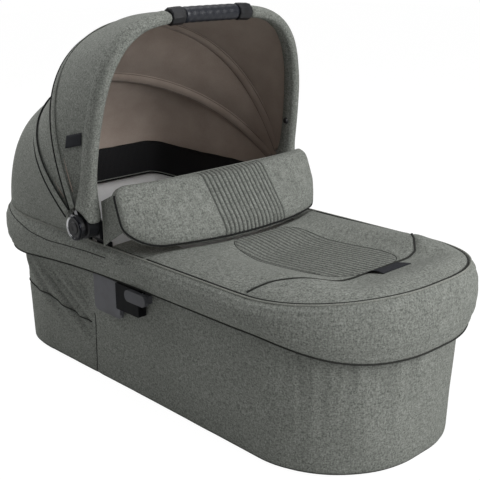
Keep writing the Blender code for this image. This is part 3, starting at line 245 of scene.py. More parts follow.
def mouldedPlastic(name, look):
    # injection-moulded polymer with a spark-eroded texture, a little polished where hands rub it
    finish, tree, onPiece, _ = newFinish(name)
    grain = addNode(tree, "TexNoise", {"Scale": 1 / look["grain"], "Detail": 3.0}, onPiece)
    wear = addNode(tree, "TexNoise", {"Scale": 55.0, "Detail": 4.0}, onPiece)
    tone = addNode(tree, "MapRange", {"From Min": 0.35, "From Max": 0.65}, {"Value": wear})
    low, high = look["rough"] - 0.07, look["rough"] + 0.07
    return closeFinish(finish, layTones(tree, look, "dark", (("pale", tone),)),
                       {"IOR": 1.49, "Specular IOR Level": look["shine"]},
                       ({"From Min": 0.3, "From Max": 0.7, "To Min": low, "To Max": high}, wear),
                       ({"Strength": look["bump"], "Distance": 0.0003}, grain))


def drawnMetal(name, look):
    # steel drawn or turned, then plated: streaks along the draw
    finish, tree, onPiece, _ = newFinish(name)
    streak = addNode(tree, "Mapping", {"Scale": (60.0, 60.0, 1400.0)}, onPiece)
    line = addNode(tree, "TexNoise", {"Scale": 1.0, "Detail": 3.0}, {"Vector": streak})
    layers = [("pale", line)]
    if "paintedReflection" in look:  # painted reflection: a bright ring's foot side is drawn nearly black, as if it mirrored the dark handle
        place = addNode(tree, "SeparateXYZ", {}, onPiece)
        layers.append(("paintedReflection", addNode(tree, "MapRange", {"From Min": look["mirrorFrom"],
                                                            "From Max": look["mirrorTo"]}, {"Value": place})))
    return closeFinish(finish, layTones(tree, look, "dark", layers), {"Metallic": 1.0},
                       ({"To Min": look["rough"] - 0.05, "To Max": look["rough"] + 0.08}, line),
                       ({"Strength": look["bump"], "Distance": 0.0001}, line))


def grainedHide(name, look):
    # coated leatherette: fine pebbles under a thin glossy coat
    finish, tree, onPiece, _ = newFinish(name)
    pebble = addNode(tree, "TexVoronoi", {"Scale": 1 / look["pebble"], "feature": "SMOOTH_F1", "Smoothness": 0.4},
                     onPiece)
    crease = addNode(tree, "TexNoise", {"Scale": 160.0, "Detail": 5.0}, onPiece)
    height = addNode(tree, "Math", {"operation": "ADD"}, {0: pebble, 1: crease})
    return closeFinish(finish, layTones(tree, look, "pale", (("dark", pebble),)),
                       {"IOR": 1.5, "Specular IOR Level": 0.5, "Coat Weight": 0.25, "Coat Roughness": 0.25},
                       ({"To Min": 0.30, "To Max": 0.48}, crease), ({"Strength": 0.35, "Distance": 0.0004}, height))


# deep is the tone of the painted shade in grooves and fold hollows
heather = {"dark": "#5A5D58", "pale": "#A0A39D", "deep": "#2A2B29", "fleck": 0.0024, "yarn": 0.0012, "bump": 0.45,
           "sheen": 0.12}
melange = heatherCloth("heather polyester cloth", heather)
cover = heatherCloth("heather sleeve cloth", dict(heather, yarn=0.0010))
piping = heatherCloth("heather piping", dict(heather, fleck=0.0014))
# the piping cords are real; their paler tone is painted highlight for edges that catch the light
highlightPiping = heatherCloth("heather piping with painted highlight", dict(heather, dark="#6E706A", pale="#A6A8A1", fleck=0.0014))
blackPiping = heatherCloth("black piping cord cloth", dict(heather, dark="#121313", pale="#2A2B2A", deep="#0B0B0B",
                           fleck=0.0012, sheen=0.1))
# partly painted shade: seam cords drawn much darker than the cloth stand for the thread and for the shade in each
# seam's crease
thread = heatherCloth("dark seam thread with painted seam shade", dict(heather, dark="#2B2C2A", pale="#3D3E3B", fleck=0.0010, sheen=0.1))
label = heatherCloth("woven label tape", dict(heather, dark="#222327", pale="#34353A", fleck=0.0010, yarn=0.0008,
                     sheen=0.15))
taupe = knitCloth("taupe lining jersey", {"dark": "#A39489", "pale": "#B5A79D", "deep": "#4C443F", "wale": 0.0012})
jersey = knitCloth("pale grey jersey", {"dark": "#D2D3D3", "pale": "#E2E3E3", "deep": "#8F9090", "wale": 0.0012})
lining = knitCloth("taupe lining thread", {"dark": "#5C534D", "pale": "#6B615A", "deep": "#3A3430", "wale": 0.0010})
net = netCloth("black air mesh", {"hole": 0.0021, "hollow": "#050506", "thread": "#1C1C1F"})
hide = grainedHide("navy leatherette", {"pebble": 0.0011, "dark": "#10131B", "pale": "#1E222D"})
plastics = (("grey moulded nylon", "#57585C", "#63646A", 0.0004, 0.5, 0.18, 0.5),
            ("dark grey moulded nylon", "#424347", "#4D4E53", 0.0004, 0.48, 0.18, 0.5),
            ("black moulded acetal", "#0F1013", "#1A1B20", 0.0005, 0.40, 0.15, 0.5),
            ("black glass-filled nylon", "#090A0C", "#111216", 0.0005, 0.66, 0.2, 0.18),
            ("dark polypropylene board", "#2B2C2E", "#37383A", 0.0009, 0.62, 0.35, 0.5),
            ("black rubber", "#161616", "#232323", 0.0007, 0.8, 0.3, 0.5))
greyPolymer, leverPolymer, blackPolymer, mattPolymer, boardPolymer, rubber = [
    mouldedPlastic(name, dict(zip(("dark", "pale", "grain", "rough", "bump", "shine"), row)))
    for name, *row in plastics]
steel = drawnMetal("zinc-plated steel", {"dark": "#9B9C9E", "pale": "#BDBEC1", "rough": 0.34, "bump": 0.2})
# the chrome carries a painted reflection of the dark handle on its foot side
chrome = drawnMetal("bright chrome", {"dark": "#D9DADD", "pale": "#EDEEF0", "rough": 0.12, "bump": 0.03,
                                      "paintedReflection": "#26272B", "mirrorFrom": -0.102, "mirrorTo": -0.093})
print("finishes made")


# pieces
def finishPiece(name, mesh, finishes, body=None):
    piece = bpy.data.objects.new(name, mesh)
    bpy.context.scene.collection.objects.link(piece)
    for finish in finishes:
        mesh.materials.append(finish)
    mesh.shade_smooth()
    if body:
        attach(piece, body)
    return piece


def sheetMesh(name, rows, around=False, outward=None, wide=None, dark=None):
    # a grid pulled to the rows' places; its thread map is in metres
    columns, lines = len(rows[0]) - 1, len(rows) - 1
    middle = rows[lines // 2]
    wide = wide or sum((b - a).length for a, b in zip(middle, middle[1:]))
    tall = sum((b[columns // 3] - a[columns // 3]).length for a, b in zip(rows, rows[1:]))
    sheet = bmesh.new()
    bmesh.ops.create_grid(sheet, x_segments=columns, y_segments=lines, size=0.5)
    threads = sheet.loops.layers.uv.new("threads")
    # groove holds painted shade: how much darker each point is drawn
    groove = sheet.verts.layers.float.new("groove")
    place = {vertex: (round((vertex.co.x + 0.5) * columns), round((vertex.co.y + 0.5) * lines))
             for vertex in sheet.verts}
    for face in sheet.faces:
        for loop in face.loops:
            column, line = place[loop.vert]
            loop[threads].uv = (column / columns * wide, line / lines * tall)
    for vertex, (column, line) in place.items():
        vertex.co = rows[line][column]
        if dark:
            vertex[groove] = dark(column, line)
    if around:
        bmesh.ops.remove_doubles(sheet, verts=sheet.verts, dist=1e-6)
    if outward:
        sheet.normal_update()
        facing = sum(face.normal.dot(outward(face.calc_center_median())) * face.calc_area() for face in sheet.faces)
        if facing < 0:
            bmesh.ops.reverse_faces(sheet, faces=sheet.faces)
    mesh = bpy.data.meshes.new(name)
    sheet.to_mesh(mesh)
    sheet.free()
    return mesh


def thicken(piece, thick, inner=0):
    wall = piece.modifiers.new("wall", "SOLIDIFY")
    wall.thickness, wall.offset, wall.use_even_offset = thick, -1.0, False
    wall.material_offset = inner
    wall.material_offset_rim = 0


def sewSheet(name, rows, finishes, thick, outward=upward, body=None,
             around=False, dark=None):
    piece = finishPiece(name, sheetMesh(name, rows, around, outward, dark=dark), finishes, body)
    thicken(piece, thick, len(finishes) - 1)
    return piece


def tubeAlong(name, points, radius, finish, body=None, closed=False, sides=2):
    # a cord or piping: a curve given a round section, then made a mesh
    line = bpy.data.curves.new(name, "CURVE")
    line.dimensions = "3D"
    line.bevel_depth, line.bevel_resolution, line.use_fill_caps = radius, sides, True
    run = line.splines.new("POLY")
    run.points.add(len(points) - 1)
    for knot, point in zip(run.points, points):
        knot.co = (*point, 1.0)
    run.use_cyclic_u = closed
    holder = bpy.data.objects.new(name, line)
    bpy.context.scene.collection.objects.link(holder)
    bpy.context.view_layer.update()
    mesh = bpy.data.meshes.new_from_object(holder.evaluated_get(bpy.context.evaluated_depsgraph_get()))
    bpy.data.objects.remove(holder)
    bpy.data.curves.remove(line)
    mesh.name = name
    mesh.materials.clear()
    skin = bmesh.new()
    skin.from_mesh(mesh)
    bmesh.ops.remove_doubles(skin, verts=skin.verts, dist=1e-7)
    bmesh.ops.recalc_face_normals(skin, faces=skin.faces)
    skin.to_mesh(mesh)
    skin.free()
    return finishPiece(name, mesh, [finish], body)


def surfaceOf(mesh):
    return BVHTree.FromPolygons([v.co[:] for v in mesh.vertices], [p.vertices[:] for p in mesh.polygons])


def laidOn(surface, points, lift, inward=None):
    # each point dropped on the surface, straight along inward or to the nearest spot, and raised by lift
    laid = []
    for point in points:
        spot = None
        if inward:
            spot, normal, _, _ = surface.ray_cast(point - inward(point) * 0.05, inward(point))
        if spot is None:
            spot, normal, _, _ = surface.find_nearest(point)
        laid.append(spot + normal * lift)
    for _ in range(3):  # a sewn thread bridges the small hollows it crosses
        laid = [laid[0]] + [(a + b * 2 + c) / 4 for a, b, c in zip(laid, laid[1:], laid[2:])] + [laid[-1]]
    return laid


def evenly(points, count):
    run = [0.0]
    for a, b in zip(points, points[1:]):
        run.append(run[-1] + (b - a).length)
    result, k = [], 0
    for n in range(count + 1):
        target = run[-1] * n / count
        while k < len(points) - 2 and run[k + 1] < target:
            k += 1
        result.append(points[k].lerp(points[k + 1], (target - run[k]) / max(run[k + 1] - run[k], 1e-9)))
    return result


def puff(mesh, recipe):
    # cloth under air pressure: a remeshed copy swells, and the piece takes over how far it moved
    copy = bpy.data.objects.new("puffing", mesh.copy())
    bpy.context.scene.collection.objects.link(copy)
    voxels = copy.modifiers.new("voxels", "REMESH")
    voxels.mode, voxels.voxel_size = "VOXEL", recipe["voxel"]
    bpy.context.view_layer.update()
    skin = bpy.data.meshes.new_from_object(copy.evaluated_get(bpy.context.evaluated_depsgraph_get()))
    before = [v.co.copy() for v in skin.vertices]
    bag = bpy.data.objects.new("bag", skin)
    bpy.context.scene.collection.objects.link(bag)
    cloth = bag.modifiers.new("cloth", "CLOTH")
    cloth.settings.use_pressure = True
    cloth.settings.uniform_pressure_force = recipe["pressure"]
    cloth.settings.quality = 4
    cloth.settings.effector_weights.gravity = 0
    cloth.point_cache.frame_end = recipe["frames"]
    for now in range(1, recipe["frames"] + 1):
        bpy.context.scene.frame_set(now)
    after = bag.evaluated_get(bpy.context.evaluated_depsgraph_get()).to_mesh()
    moved = [b.co - a for a, b in zip(before, after.vertices)]
    tree = KDTree(len(before))
    for k, spot in enumerate(before):
        tree.insert(spot, k)
    tree.balance()
    for vertex in mesh.vertices:
        total, weight = Vector((0, 0, 0)), 0.0
        for _, k, away in tree.find_n(vertex.co, 8):
            pull = 1 / (away + 0.001) ** 2
            total, weight = total + moved[k] * pull, weight + pull
        step = total / weight
        if step.length > recipe["cap"]:
            step = step.normalized() * recipe["cap"]
        vertex.co = vertex.co + step * recipe["share"]
    bpy.context.scene.frame_set(1)
    bpy.data.objects.remove(bag)
    bpy.data.objects.remove(copy)


# the body's outline, as the solids have it
shell = {"length": 0.860, "width": 0.409, "footLong": 0.190, "footWide": 0.187, "footPower": 1.96,
         "headLong": 0.135, "headWide": 0.060, "headPower": 2.15, "rim": 0.2545, "footRise": 0.021,
         "headRise": 0.013, "footEvery": 60, "sideEvery": 110, "headEvery": 36, "endEvery": 22}
half = {"length": shell["length"] / 2, "width": shell["width"] / 2}


def rimTop(x):
    toFoot = max(0.0, (x - 0.200) / 0.230)
    toHead = max(0.0, (-x - 0.300) / 0.130)
    return shell["rim"] + shell["footRise"] * toFoot ** 2 + shell["headRise"] * toHead ** 2


def bandEdge(x):
    toFoot = ease((x - 0.240) / 0.190)
    toHead = max(0.0, -x / half["length"]) ** 2
    return rimTop(x) - 0.050 - 0.0444 * toFoot - 0.033 * toHead


def outline(sideIn, headIn=None, footIn=None):
    # all round from the foot's middle along +Y, over the head end and back
    headIn = sideIn if headIn is None else headIn
    footIn = sideIn if footIn is None else footIn
    side = half["width"] - sideIn
    footLong, footWide = shell["footLong"] - footIn, shell["footWide"] - sideIn
    headLong, headWide = shell["headLong"] - headIn, max(shell["headWide"] - sideIn, 0.010)
    footX = half["length"] - footIn - footLong
    headX = headIn + headLong - half["length"]
    points = [(half["length"] - footIn, 0.0)]
    for k in range(shell["footEvery"] + 1):
        angle = pi / 2 * k / shell["footEvery"]
        points.append((footX + footLong * abs(cos(angle)) ** (2 / shell["footPower"]),
                       side - footWide + footWide * abs(sin(angle)) ** (2 / shell["footPower"])))
    for k in range(1, shell["sideEvery"]):
        points.append((mix(footX, headX, k / shell["sideEvery"]), side))
    for k in range(shell["headEvery"] + 1):
        angle = pi / 2 * k / shell["headEvery"]
        points.append((headX - headLong * abs(sin(angle)) ** (2 / shell["headPower"]),
                       side - headWide + headWide * abs(cos(angle)) ** (2 / shell["headPower"])))
    for k in range(1, shell["endEvery"]):
        points.append((headIn - half["length"], (side - headWide) * (1 - k / shell["endEvery"])))
    points.append((headIn - half["length"], 0.0))
    return points + [(x, -y) for x, y in points[-2::-1]]


# skirt: the outer cloth wall between the base and the rim
skirt = {"baseSide": 0.0340, "baseHead": 0.0455, "baseFoot": 0.0345, "top": 0.0220, "flare": 4, "low": 0.0034,
         "under": 0.0263, "rows": 52, "thick": 0.0018, "ripple": 0.0013, "seam": 0.0009, "cord": 0.0010,
         "seamTop": 0.1205}
rearSeam = [(-0.440, 0.118), (-0.333, 0.1165), (-0.289, 0.1150), (-0.246, 0.1100), (-0.216, 0.1050),
            (-0.186, 0.1000), (-0.151, 0.1010)]


def sideSeamX(z):
    return through([(0.0, -0.158), (0.062, -0.150), (0.106, -0.144), (0.20, -0.136)], z)


def rearLoose(x, z):
    return ease((-0.13 - x) / 0.05) * ease((z - 0.012) / 0.03) * ease((0.200 - z) / 0.03)


# long folds in the looser rear panel, by where each starts, its slope, height and width
rearFold = ((-0.332, 1.50, 0.0030, 0.0105), (-0.300, 1.55, 0.0020, 0.0090), (-0.255, 1.60, 0.0022, 0.0110),
            (-0.210, 1.30, 0.0026, 0.0100), (-0.178, 1.10, 0.0018, 0.0085), (-0.385, 1.30, 0.0022, 0.0120))


def rearFolds(x, z):
    rise = hollow = 0.0
    seam, loose = through(rearSeam, x), rearLoose(x, z)
    for startX, slope, size, wide in rearFold:
        along = (0.175 - z) * slope + startX
        reach = ease((0.19 - z) / 0.05) * ease((z - (seam - 0.065)) / 0.07) * loose
        rise += 2.4 * size * hump(x - along, wide) * reach
        hollow += 1.4 * size * hump(x - along - 1.6 * wide, 1.2 * wide) * reach
    return rise, hollow


def skirtWave(x, y, z, share):
    around = atan2(y, x)
    ends = ease((abs(x) - 0.215) / 0.1075)
    swell = skirt["ripple"] * ends * sin(pi * share) * (sin(17 * around + 0.9 * sin(7 * around))
                                                        + 0.5 * sin(41 * around + 3 * share))
    # broad puckers near the base, where the cloth is turned under the board
    swell += 0.0011 * hump(z - 0.03, 0.035) * noise.noise(Vector((x * 22, y * 22, z * 9)))
    swell += 0.0012 * sin(pi * share) * noise.noise(Vector((x * 11, y * 11, z * 16 + 3)))
    # gathers hang from the band round the foot end and fade downwards
    gather = ease((x - 0.20) / 0.12) * share ** 1.6 * ease((1 - share) / 0.05)
    swell += 0.0080 * gather * noise.noise(Vector((around * 30, z * 5, 7)))
    swell += 0.0052 * gather * noise.noise(Vector((around * 70, z * 7, 11)))
    rise, hollow = rearFolds(x, z)
    above = z - through(rearSeam, x)
    swell += rise - hollow - 0.0022 * rearLoose(x, z) * (
        hump(above, 0.0045) + ease(above / 0.02) * ease((0.215 - z) / 0.05))
    swell -= 0.0022 * hump(x - sideSeamX(z), 0.0045) * ease((0.125 - z) / 0.02) * (1 if abs(y) > 0.1 else 0)
    return swell


def makeSkirt():
    rows, rings = [], skirt["rows"]
    for line in range(rings + 1):
        share = line / rings
        insets = [mix(base, skirt["top"], share ** power) for base, power in
                  ((skirt["baseSide"], 1), (skirt["baseHead"], skirt["flare"]), (skirt["baseFoot"], 1))]
        row = []
        for x, y in outline(*insets):
            z = mix(skirt["low"], rimTop(x) - skirt["under"], share)
            out = Vector((x / 1.6, y, 0)).normalized() if abs(x) < 0.3 else Vector((x, y * 1.2, 0)).normalized()
            turned = -0.004 * hump(share, 0.012)
            row.append(Vector((x, y, z)) + out * (skirtWave(x, y, z, share) + turned))
        rows.append(row)

    def hollowDark(column, line):  # less light reaches the bottom of a fold
        spot = rows[line][column]
        hollow = rearFolds(spot.x, spot.z)[1]
        gathered = ease((spot.x - 0.20) / 0.12) * ease((spot.z - 0.10) / 0.12)
        around = atan2(spot.y, spot.x)
        tuck = max(0.0, -noise.noise(Vector((around * 30, spot.z * 5, 7)))) * gathered
        return min(0.6, 110 * hollow + 0.9 * tuck)

    piece = sewSheet("skirt_cloth", rows, [melange], skirt["thick"],
                     fromAxis, around=True, dark=hollowDark)
    surface = surfaceOf(piece.data)
    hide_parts("skirt")
    # the dark seam cords are partly painted shade in the seams' creases
    seams = []
    for side, sign in bothSides:
        down = [Vector((sideSeamX(z), sign * 0.19, z)) for z in
                [mix(0.006, skirt["seamTop"], k / 40) for k in range(41)]]
        seams.append(tubeAlong("side_seam_" + side, laidOn(surface, down, -0.0002, toMiddle), skirt["seam"], thread))
    ring = [Vector((x, y, through(rearSeam, x))) for x, y in outline(0.030, 0.038, 0.03) if x < -0.150]
    seams.append(tubeAlong("rear_seam", laidOn(surface, ring, 0.0013, toMiddle), skirt["cord"], thread))
    hem = [Vector((x, y, 0.0062)) for x, y in outline(skirt["baseSide"], skirt["baseHead"], skirt["baseFoot"])][:-1]
    seams.append(tubeAlong("hem_cord", laidOn(surface, hem, -0.0004, toMiddle), skirt["cord"], thread, closed=True))
    for soft in [piece] + seams:
        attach(soft, "base")
        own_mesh(soft)


makeSkirt()
print("skirt hung")


# liner: pale jersey inside, from the floor up and over the rim frame
liner = {"side": 0.0500, "head": 0.0688, "foot": 0.0722, "up": 0.0487, "floor": 0.0080, "turn": 0.016,
         "lip": 0.0026, "lipIn": 0.0229, "thick": 0.0012, "wallRows": 18, "turnRows": 5}


def makeLiner():
    insets = []
    for k in range(liner["wallRows"] + 1):
        share = k / liner["wallRows"]
        insets.append(([mix(liner[key], liner["up"], share) for key in ("side", "head", "foot")], share, 0.0))
    for k in range(1, liner["turnRows"] + 1):
        angle = pi / 2 * k / liner["turnRows"]
        back = 0.75 * liner["turn"] * (1 - cos(angle))
        insets.append(((liner["up"] - back,) * 3, 1.0, (liner["turn"] - liner["lip"]) * sin(angle)))
    insets.append(((liner["lipIn"],) * 3, 1.0, liner["turn"] - liner["lip"]))
    rows = []
    for inset, share, climb in insets:
        row = []
        for x, y in outline(*inset):
            top = rimTop(x) - liner["turn"]
            z = mix(liner["floor"], top, share) + climb
            slack = 0.0016 * sin(pi * share) * noise.noise(Vector((x * 14, y * 14, z * 12)))
            out = Vector((x, y, 0)).normalized() * (slack - 0.0010 * (1 if climb == 0 else 0))
            row.append(Vector((x, y, z)) + out)
        rows.append(row)
    piece = sewSheet("liner_cloth", rows, [jersey], liner["thick"],
                     lambda point: -fromAxis(point), "base", around=True)
    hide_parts("liner")
    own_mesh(piece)


makeLiner()


# mattress: foam in a jersey cover, crowned, with a piped edge
mattress = {"side": 0.0555, "head": 0.0742, "foot": 0.0775, "low": 0.0084, "thick": 0.0315, "crown": 0.0028,
            "edge": 0.010, "middle": 0.129, "headMost": 0.055, "footMost": 0.105, "piping": 0.0013,
            "recipe": {"voxel": 0.006, "pressure": 3.0, "frames": 16, "cap": 0.004, "share": 0.45}}


def makeMattress():
    low, high, edge = mattress["low"], mattress["low"] + mattress["thick"], mattress["edge"]
    steps = [(mattress["middle"], low), (0.10, low), (0.05, low), (0.02, low)]
    for k in range(7):
        angle = pi / 2 * k / 6
        steps.append((edge * (1 - sin(angle)), low + edge * (1 - cos(angle))))
    steps.append((0.0015, (low + high) / 2))
    for k in range(7):
        angle = pi / 2 * k / 6
        steps.append((edge * (1 - cos(angle)), high - edge + edge * sin(angle)))
    for inward in (0.018, 0.030, 0.045, 0.065, 0.085, 0.105, 0.118, mattress["middle"]):
        steps.append((inward, high + mattress["crown"] * ease(inward / 0.10)))
    rows = []
    for inward, z in steps:
        rows.append([Vector((x, y, z)) for x, y in outline(
            mattress["side"] + inward, mattress["head"] + min(inward, mattress["headMost"]),
            mattress["foot"] + min(inward * 0.72, mattress["footMost"]))])
    for k in (0, -1):  # the last ring closes on the middle line
        rows[k] = [Vector((p.x, p.y * 0.02, p.z)) for p in rows[k]]
    mesh = sheetMesh("mattress_cover", rows, True, lambda point: point - Vector((0, 0, 0.024)))
    puff(mesh, mattress["recipe"])
    for vertex in mesh.vertices:  # flat where it lies on the board
        vertex.co.z = max(vertex.co.z, low)
    piece = finishPiece("mattress_cover", mesh, [jersey], "base")
    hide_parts("mattress")
    rim = outline(mattress["side"], mattress["head"], mattress["foot"])[:-1]
    rim = laidOn(surfaceOf(mesh), [Vector((x, y, high - edge * 0.3)) for x, y in rim], 0.0002)
    tubeAlong("mattress_piping", rim, mattress["piping"], jersey, "base", closed=True)


makeMattress()
print("liner and mattress in")


# padded band round the rim, piped at both edges
band = {"in": 0.012, "thick": 0.0035, "rows": 26, "piping": 0.0015, "seam": 0.0009, "stitch": 0.0005,
        "stitchBelow": 0.0052}
bandShape = [(0.0, 1.0), (0.12, 0.42), (0.30, 0.06), (0.48, 0.0), (0.68, 0.14), (0.86, 0.56), (1.0, 1.0)]
hoodSeam = [(-0.440, 0.0050), (-0.371, 0.0070), (-0.324, 0.0120), (-0.282, 0.0185), (-0.229, 0.0215),
            (-0.188, 0.0185), (-0.120, 0.0150), (-0.060, 0.0140)]


def makeBand():
    rows = []
    for line in range(band["rows"] + 1):
        share = line / band["rows"]
        inward = band["in"] * through(bandShape, share, ease)
        row = []
        for x, y in outline(inward):
            z = mix(rimTop(x), bandEdge(x), share)
            out = Vector((x / 2, y, 0)).normalized()
            swell = 0.0008 * sin(pi * share) * noise.noise(Vector((x * 9, y * 9, z * 30)))
            if x < -0.05:
                swell -= 0.0013 * hump(rimTop(x) - through(hoodSeam, x) - z, 0.0028)
            row.append(Vector((x, y, z)) + out * swell)
        rows.append(row)
    top = [Vector((p.x * 0.9945, p.y * 0.988, p.z + 0.0006)) for p in rows[0]]
    under = [Vector((p.x * 0.9930, p.y * 0.984, p.z + 0.0012)) for p in rows[-1]]
    mesh = sheetMesh("band_cloth", [top] + rows + [under], True, fromAxis)
    piece = finishPiece("band_cloth", mesh, [melange], "rim")
    surface = surfaceOf(mesh)
    thicken(piece, band["thick"])
    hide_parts("rim_band")
    # the dark thread cords below are partly painted shade in the seams' creases
    lower = [Vector((x, y, bandEdge(x) + 0.0010)) for x, y in outline(band["in"])][:-1]
    tubeAlong("band_lower_piping", laidOn(surface, lower, 0.0002), band["piping"], thread, "rim", closed=True)
    # the upper piping's paler tone is painted highlight along the rim's top edge
    upper = [Vector((x, y, rimTop(x) + 0.0002)) for x, y in outline(band["in"] + 0.0006)][:-1]
    tubeAlong("band_upper_piping", laidOn(surface, upper, 0.0002), band["piping"], highlightPiping, "rim", closed=True)
    line = [Vector((x, y, rimTop(x) - through(hoodSeam, x))) for x, y in outline(0.002) if x < -0.062]
    tubeAlong("hood_seam", laidOn(surface, line, -0.0001, toMiddle), band["seam"], thread, "rim")
    second = [point - Vector((0, 0, band["stitchBelow"])) for point in line]
    tubeAlong("hood_seam_stitch", laidOn(surface, second, 0.0, toMiddle), band["stitch"], piping, "rim")


makeBand()
print("band piped")


# apron: quilted cover over the foot end; its ribbed middle sags between padded borders
apron = {"headX": 0.066, "headBow": 0.070, "headPower": 2.5, "inset": 0.0169, "crown": 0.0215, "crownHead": 0.0118,
         "sag": 0.0135, "thick": 0.0045, "ribPitch": 0.0085, "ribDeep": 0.0017, "panel": 0.0765, "panelX": 0.185,
         "panelReach": 0.128, "seamReach": 0.1815, "seam": 0.0016, "panelSeam": 0.0008, "edge": 0.0013}


def footReach(y, inset):
    start = half["width"] - shell["footWide"]
    share = clamp((abs(y) - start) / (shell["footWide"] - inset))
    return half["length"] - shell["footLong"] + (shell["footLong"] - inset) * (1 - share ** shell["footPower"]) ** (
        1 / shell["footPower"])


def apronHead(y):
    return apron["headX"] - apron["headBow"] * (abs(y) / half["width"]) ** apron["headPower"]


seamRun = [(0.0, 0.3125), (0.062, 0.3120), (0.095, 0.3030), (0.128, 0.2760), (0.152, 0.2520), (0.172, 0.2390),
           (0.190, 0.2260)]


def crossSeam(y):
    return through(seamRun, abs(y))


def panelHalf(x):
    off = min(abs((x - apron["panelX"]) / apron["panelReach"]), 1.0)
    return apron["panel"] * (1 - off ** 5) ** 0.4


def ribWave(y, pitch):  # 0 in each stitched groove, 1 on each rib
    return abs(sin(pi * (y / pitch + 0.5)))


def apronHeight(x, y):
    inset, seam, panel = apron["inset"], crossSeam(y), panelHalf(x)
    start = half["width"] - shell["footWide"]
    across = max(abs(y) - start, 0.0) / (shell["footWide"] - inset)
    ahead = max(x - 0.240, 0.0) / (shell["footLong"] - inset)
    share = min(1.0, hypot(across, ahead))
    crown = mix(apron["crownHead"], apron["crown"], clamp((x - apron["headX"]) / 0.184)) * (1 - share ** 6)
    inward = ease((0.135 - abs(y)) / 0.063)
    onward = ease((x - apron["headX"]) / 0.09) * ease((0.390 - x) / 0.07)
    z = rimTop(x) + crown - apron["sag"] * inward * onward
    z -= 0.0020 * hump(x - seam, 0.0034) * (1 if share < 0.985 else 0)
    # the padded foot border swells up behind its seam
    z += 0.0015 * hump(x - seam - 0.016, 0.014) * (1 - share ** 8)
    if x < seam:
        z -= 0.0014 * hump(abs(y) - panel, 0.0026)
        if abs(y) < panel:
            fade = min(1.0, (panel - abs(y)) / 0.004) * ease((seam - x) / 0.006)
            z -= apron["ribDeep"] * (1 - ribWave(y, apron["ribPitch"]) ** 0.55) * fade
    return z + 0.0006 * (1 - share) * noise.noise(Vector((x * 18, y * 18, 5)))


# painted shade: the apron's cloth is drawn darker in the stitched grooves between its quilted ribs
def ribGrooveShade(x, y):
    if abs(y) < panelHalf(x) and x < crossSeam(y) - 0.001:
        return 0.8 * (1 - ribWave(y, apron["ribPitch"])) ** 1.4
    return 0.0


def makeApron():
    inset = apron["inset"]
    side = half["width"] - inset
    fine = apron["ribPitch"] / 8
    count = round(apron["panel"] / fine)
    middle = [fine * k for k in range(-count, count + 1)]
    outer = [mix(apron["panel"], side, sin(pi / 2 * k / 40)) for k in range(1, 41)]
    columns = [-y for y in reversed(outer)] + middle + outer
    before, after = 86, 40
    rows, spots = [], []
    for line in range(before + after + 1):
        row = []
        for y in columns:
            near, far = apronHead(y), footReach(y, inset)
            seam = min(crossSeam(y), mix(near, far, 0.8))
            past = sin(pi / 2 * (line - before) / after)
            x = mix(near, seam, line / before) if line <= before else mix(seam, far, past)
            row.append(Vector((x, y, apronHeight(x, y))))
        rows.append(row)
        spots.append([(p.x, p.y) for p in row])
    rows.insert(0, [Vector((p.x - 0.0016, p.y, p.z - 0.0038)) for p in rows[0]])
    spots.insert(0, spots[0])
    mesh = sheetMesh("apron_cloth", rows, False, upward,
                     wide=side * 2, dark=lambda column, line: ribGrooveShade(*spots[line][column]))
    piece = finishPiece("apron_cloth", mesh, [melange, jersey], "rim")
    surface = surfaceOf(mesh)
    thicken(piece, apron["thick"], 1)
    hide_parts("apron")
    # seams: across the foot, round the quilted panel, and the piped edge at the rim; their dark cords are partly
    # painted shade
    across = [Vector((crossSeam(y), y, apronHeight(crossSeam(y), y))) for y in
              [apron["seamReach"] * sin(pi / 2 * k / 90) for k in range(-90, 91)]]
    across = [p for p in across if p.x < footReach(p.y, inset) - 0.002]
    tubeAlong("cross_seam", laidOn(surface, across, 0.0012), apron["seam"], thread, "rim")
    for side, sign in bothSides:
        places = [mix(0.070, 0.3118, k / 120) for k in range(121)]
        edge = [Vector((x, sign * panelHalf(x), apronHeight(x, panelHalf(x)))) for x in places]
        edge = [p for p in edge if p.x < crossSeam(p.y) - 0.0005]
        tubeAlong("panel_seam_" + side, laidOn(surface, edge, -0.0002), apron["panelSeam"], thread, "rim")
    rim = [Vector((x, y, rimTop(x) + 0.0006)) for x, y in outline(inset) if x > 0.02]
    start = next(k for k, (a, b) in enumerate(zip(rim, rim[1:])) if (b - a).length > 0.05)
    rim = rim[start + 1:] + rim[:start + 1]
    tubeAlong("apron_edge_piping", [p + Vector((0, 0, 0.0002)) for p in rim], apron["edge"], thread, "rim")


makeApron()
print("apron quilted")


# woven label in the apron's cross seam, left plain
tag = {"x": 0.3135, "long": 0.029, "halfWide": 0.031, "lift": 0.0011, "curl": 0.0034, "thick": 0.0008}


def makeApronTag():
    def at(share, along):
        x, y = tag["x"] + tag["long"] * share, mix(-tag["halfWide"], tag["halfWide"], along)
        curl = tag["curl"] * sin(pi * share) * (0.55 + 0.45 * cos(along * pi))
        return Vector((x, y, apronHeight(x, y) + tag["lift"] + curl))

    sewSheet("apron_label", gridRows(12, 24, at), [label], tag["thick"], body="rim")


makeApronTag()


# wind flap: a padded panel stitched to the apron's head edge, ribbed in the middle
flap = {"half": 0.208, "baseX": 0.0626, "baseBow": 0.072, "baseZ": 0.2652, "climb": 0.0040, "topX": -0.010,
        "topBow": 0.0285, "topZ": 0.3640, "fall": 0.009, "thick": 0.0235, "end": 0.0205, "lowCorner": 0.052,
        "topCorner": 0.018, "ribs": 0.0700, "ribPitch": 0.0085, "ribDeep": 0.0024, "piping": 0.0017,
        "seam": 0.0008,
        "recipe": {"voxel": 0.006, "pressure": 3.5, "frames": 18, "cap": 0.006, "share": 0.5}}


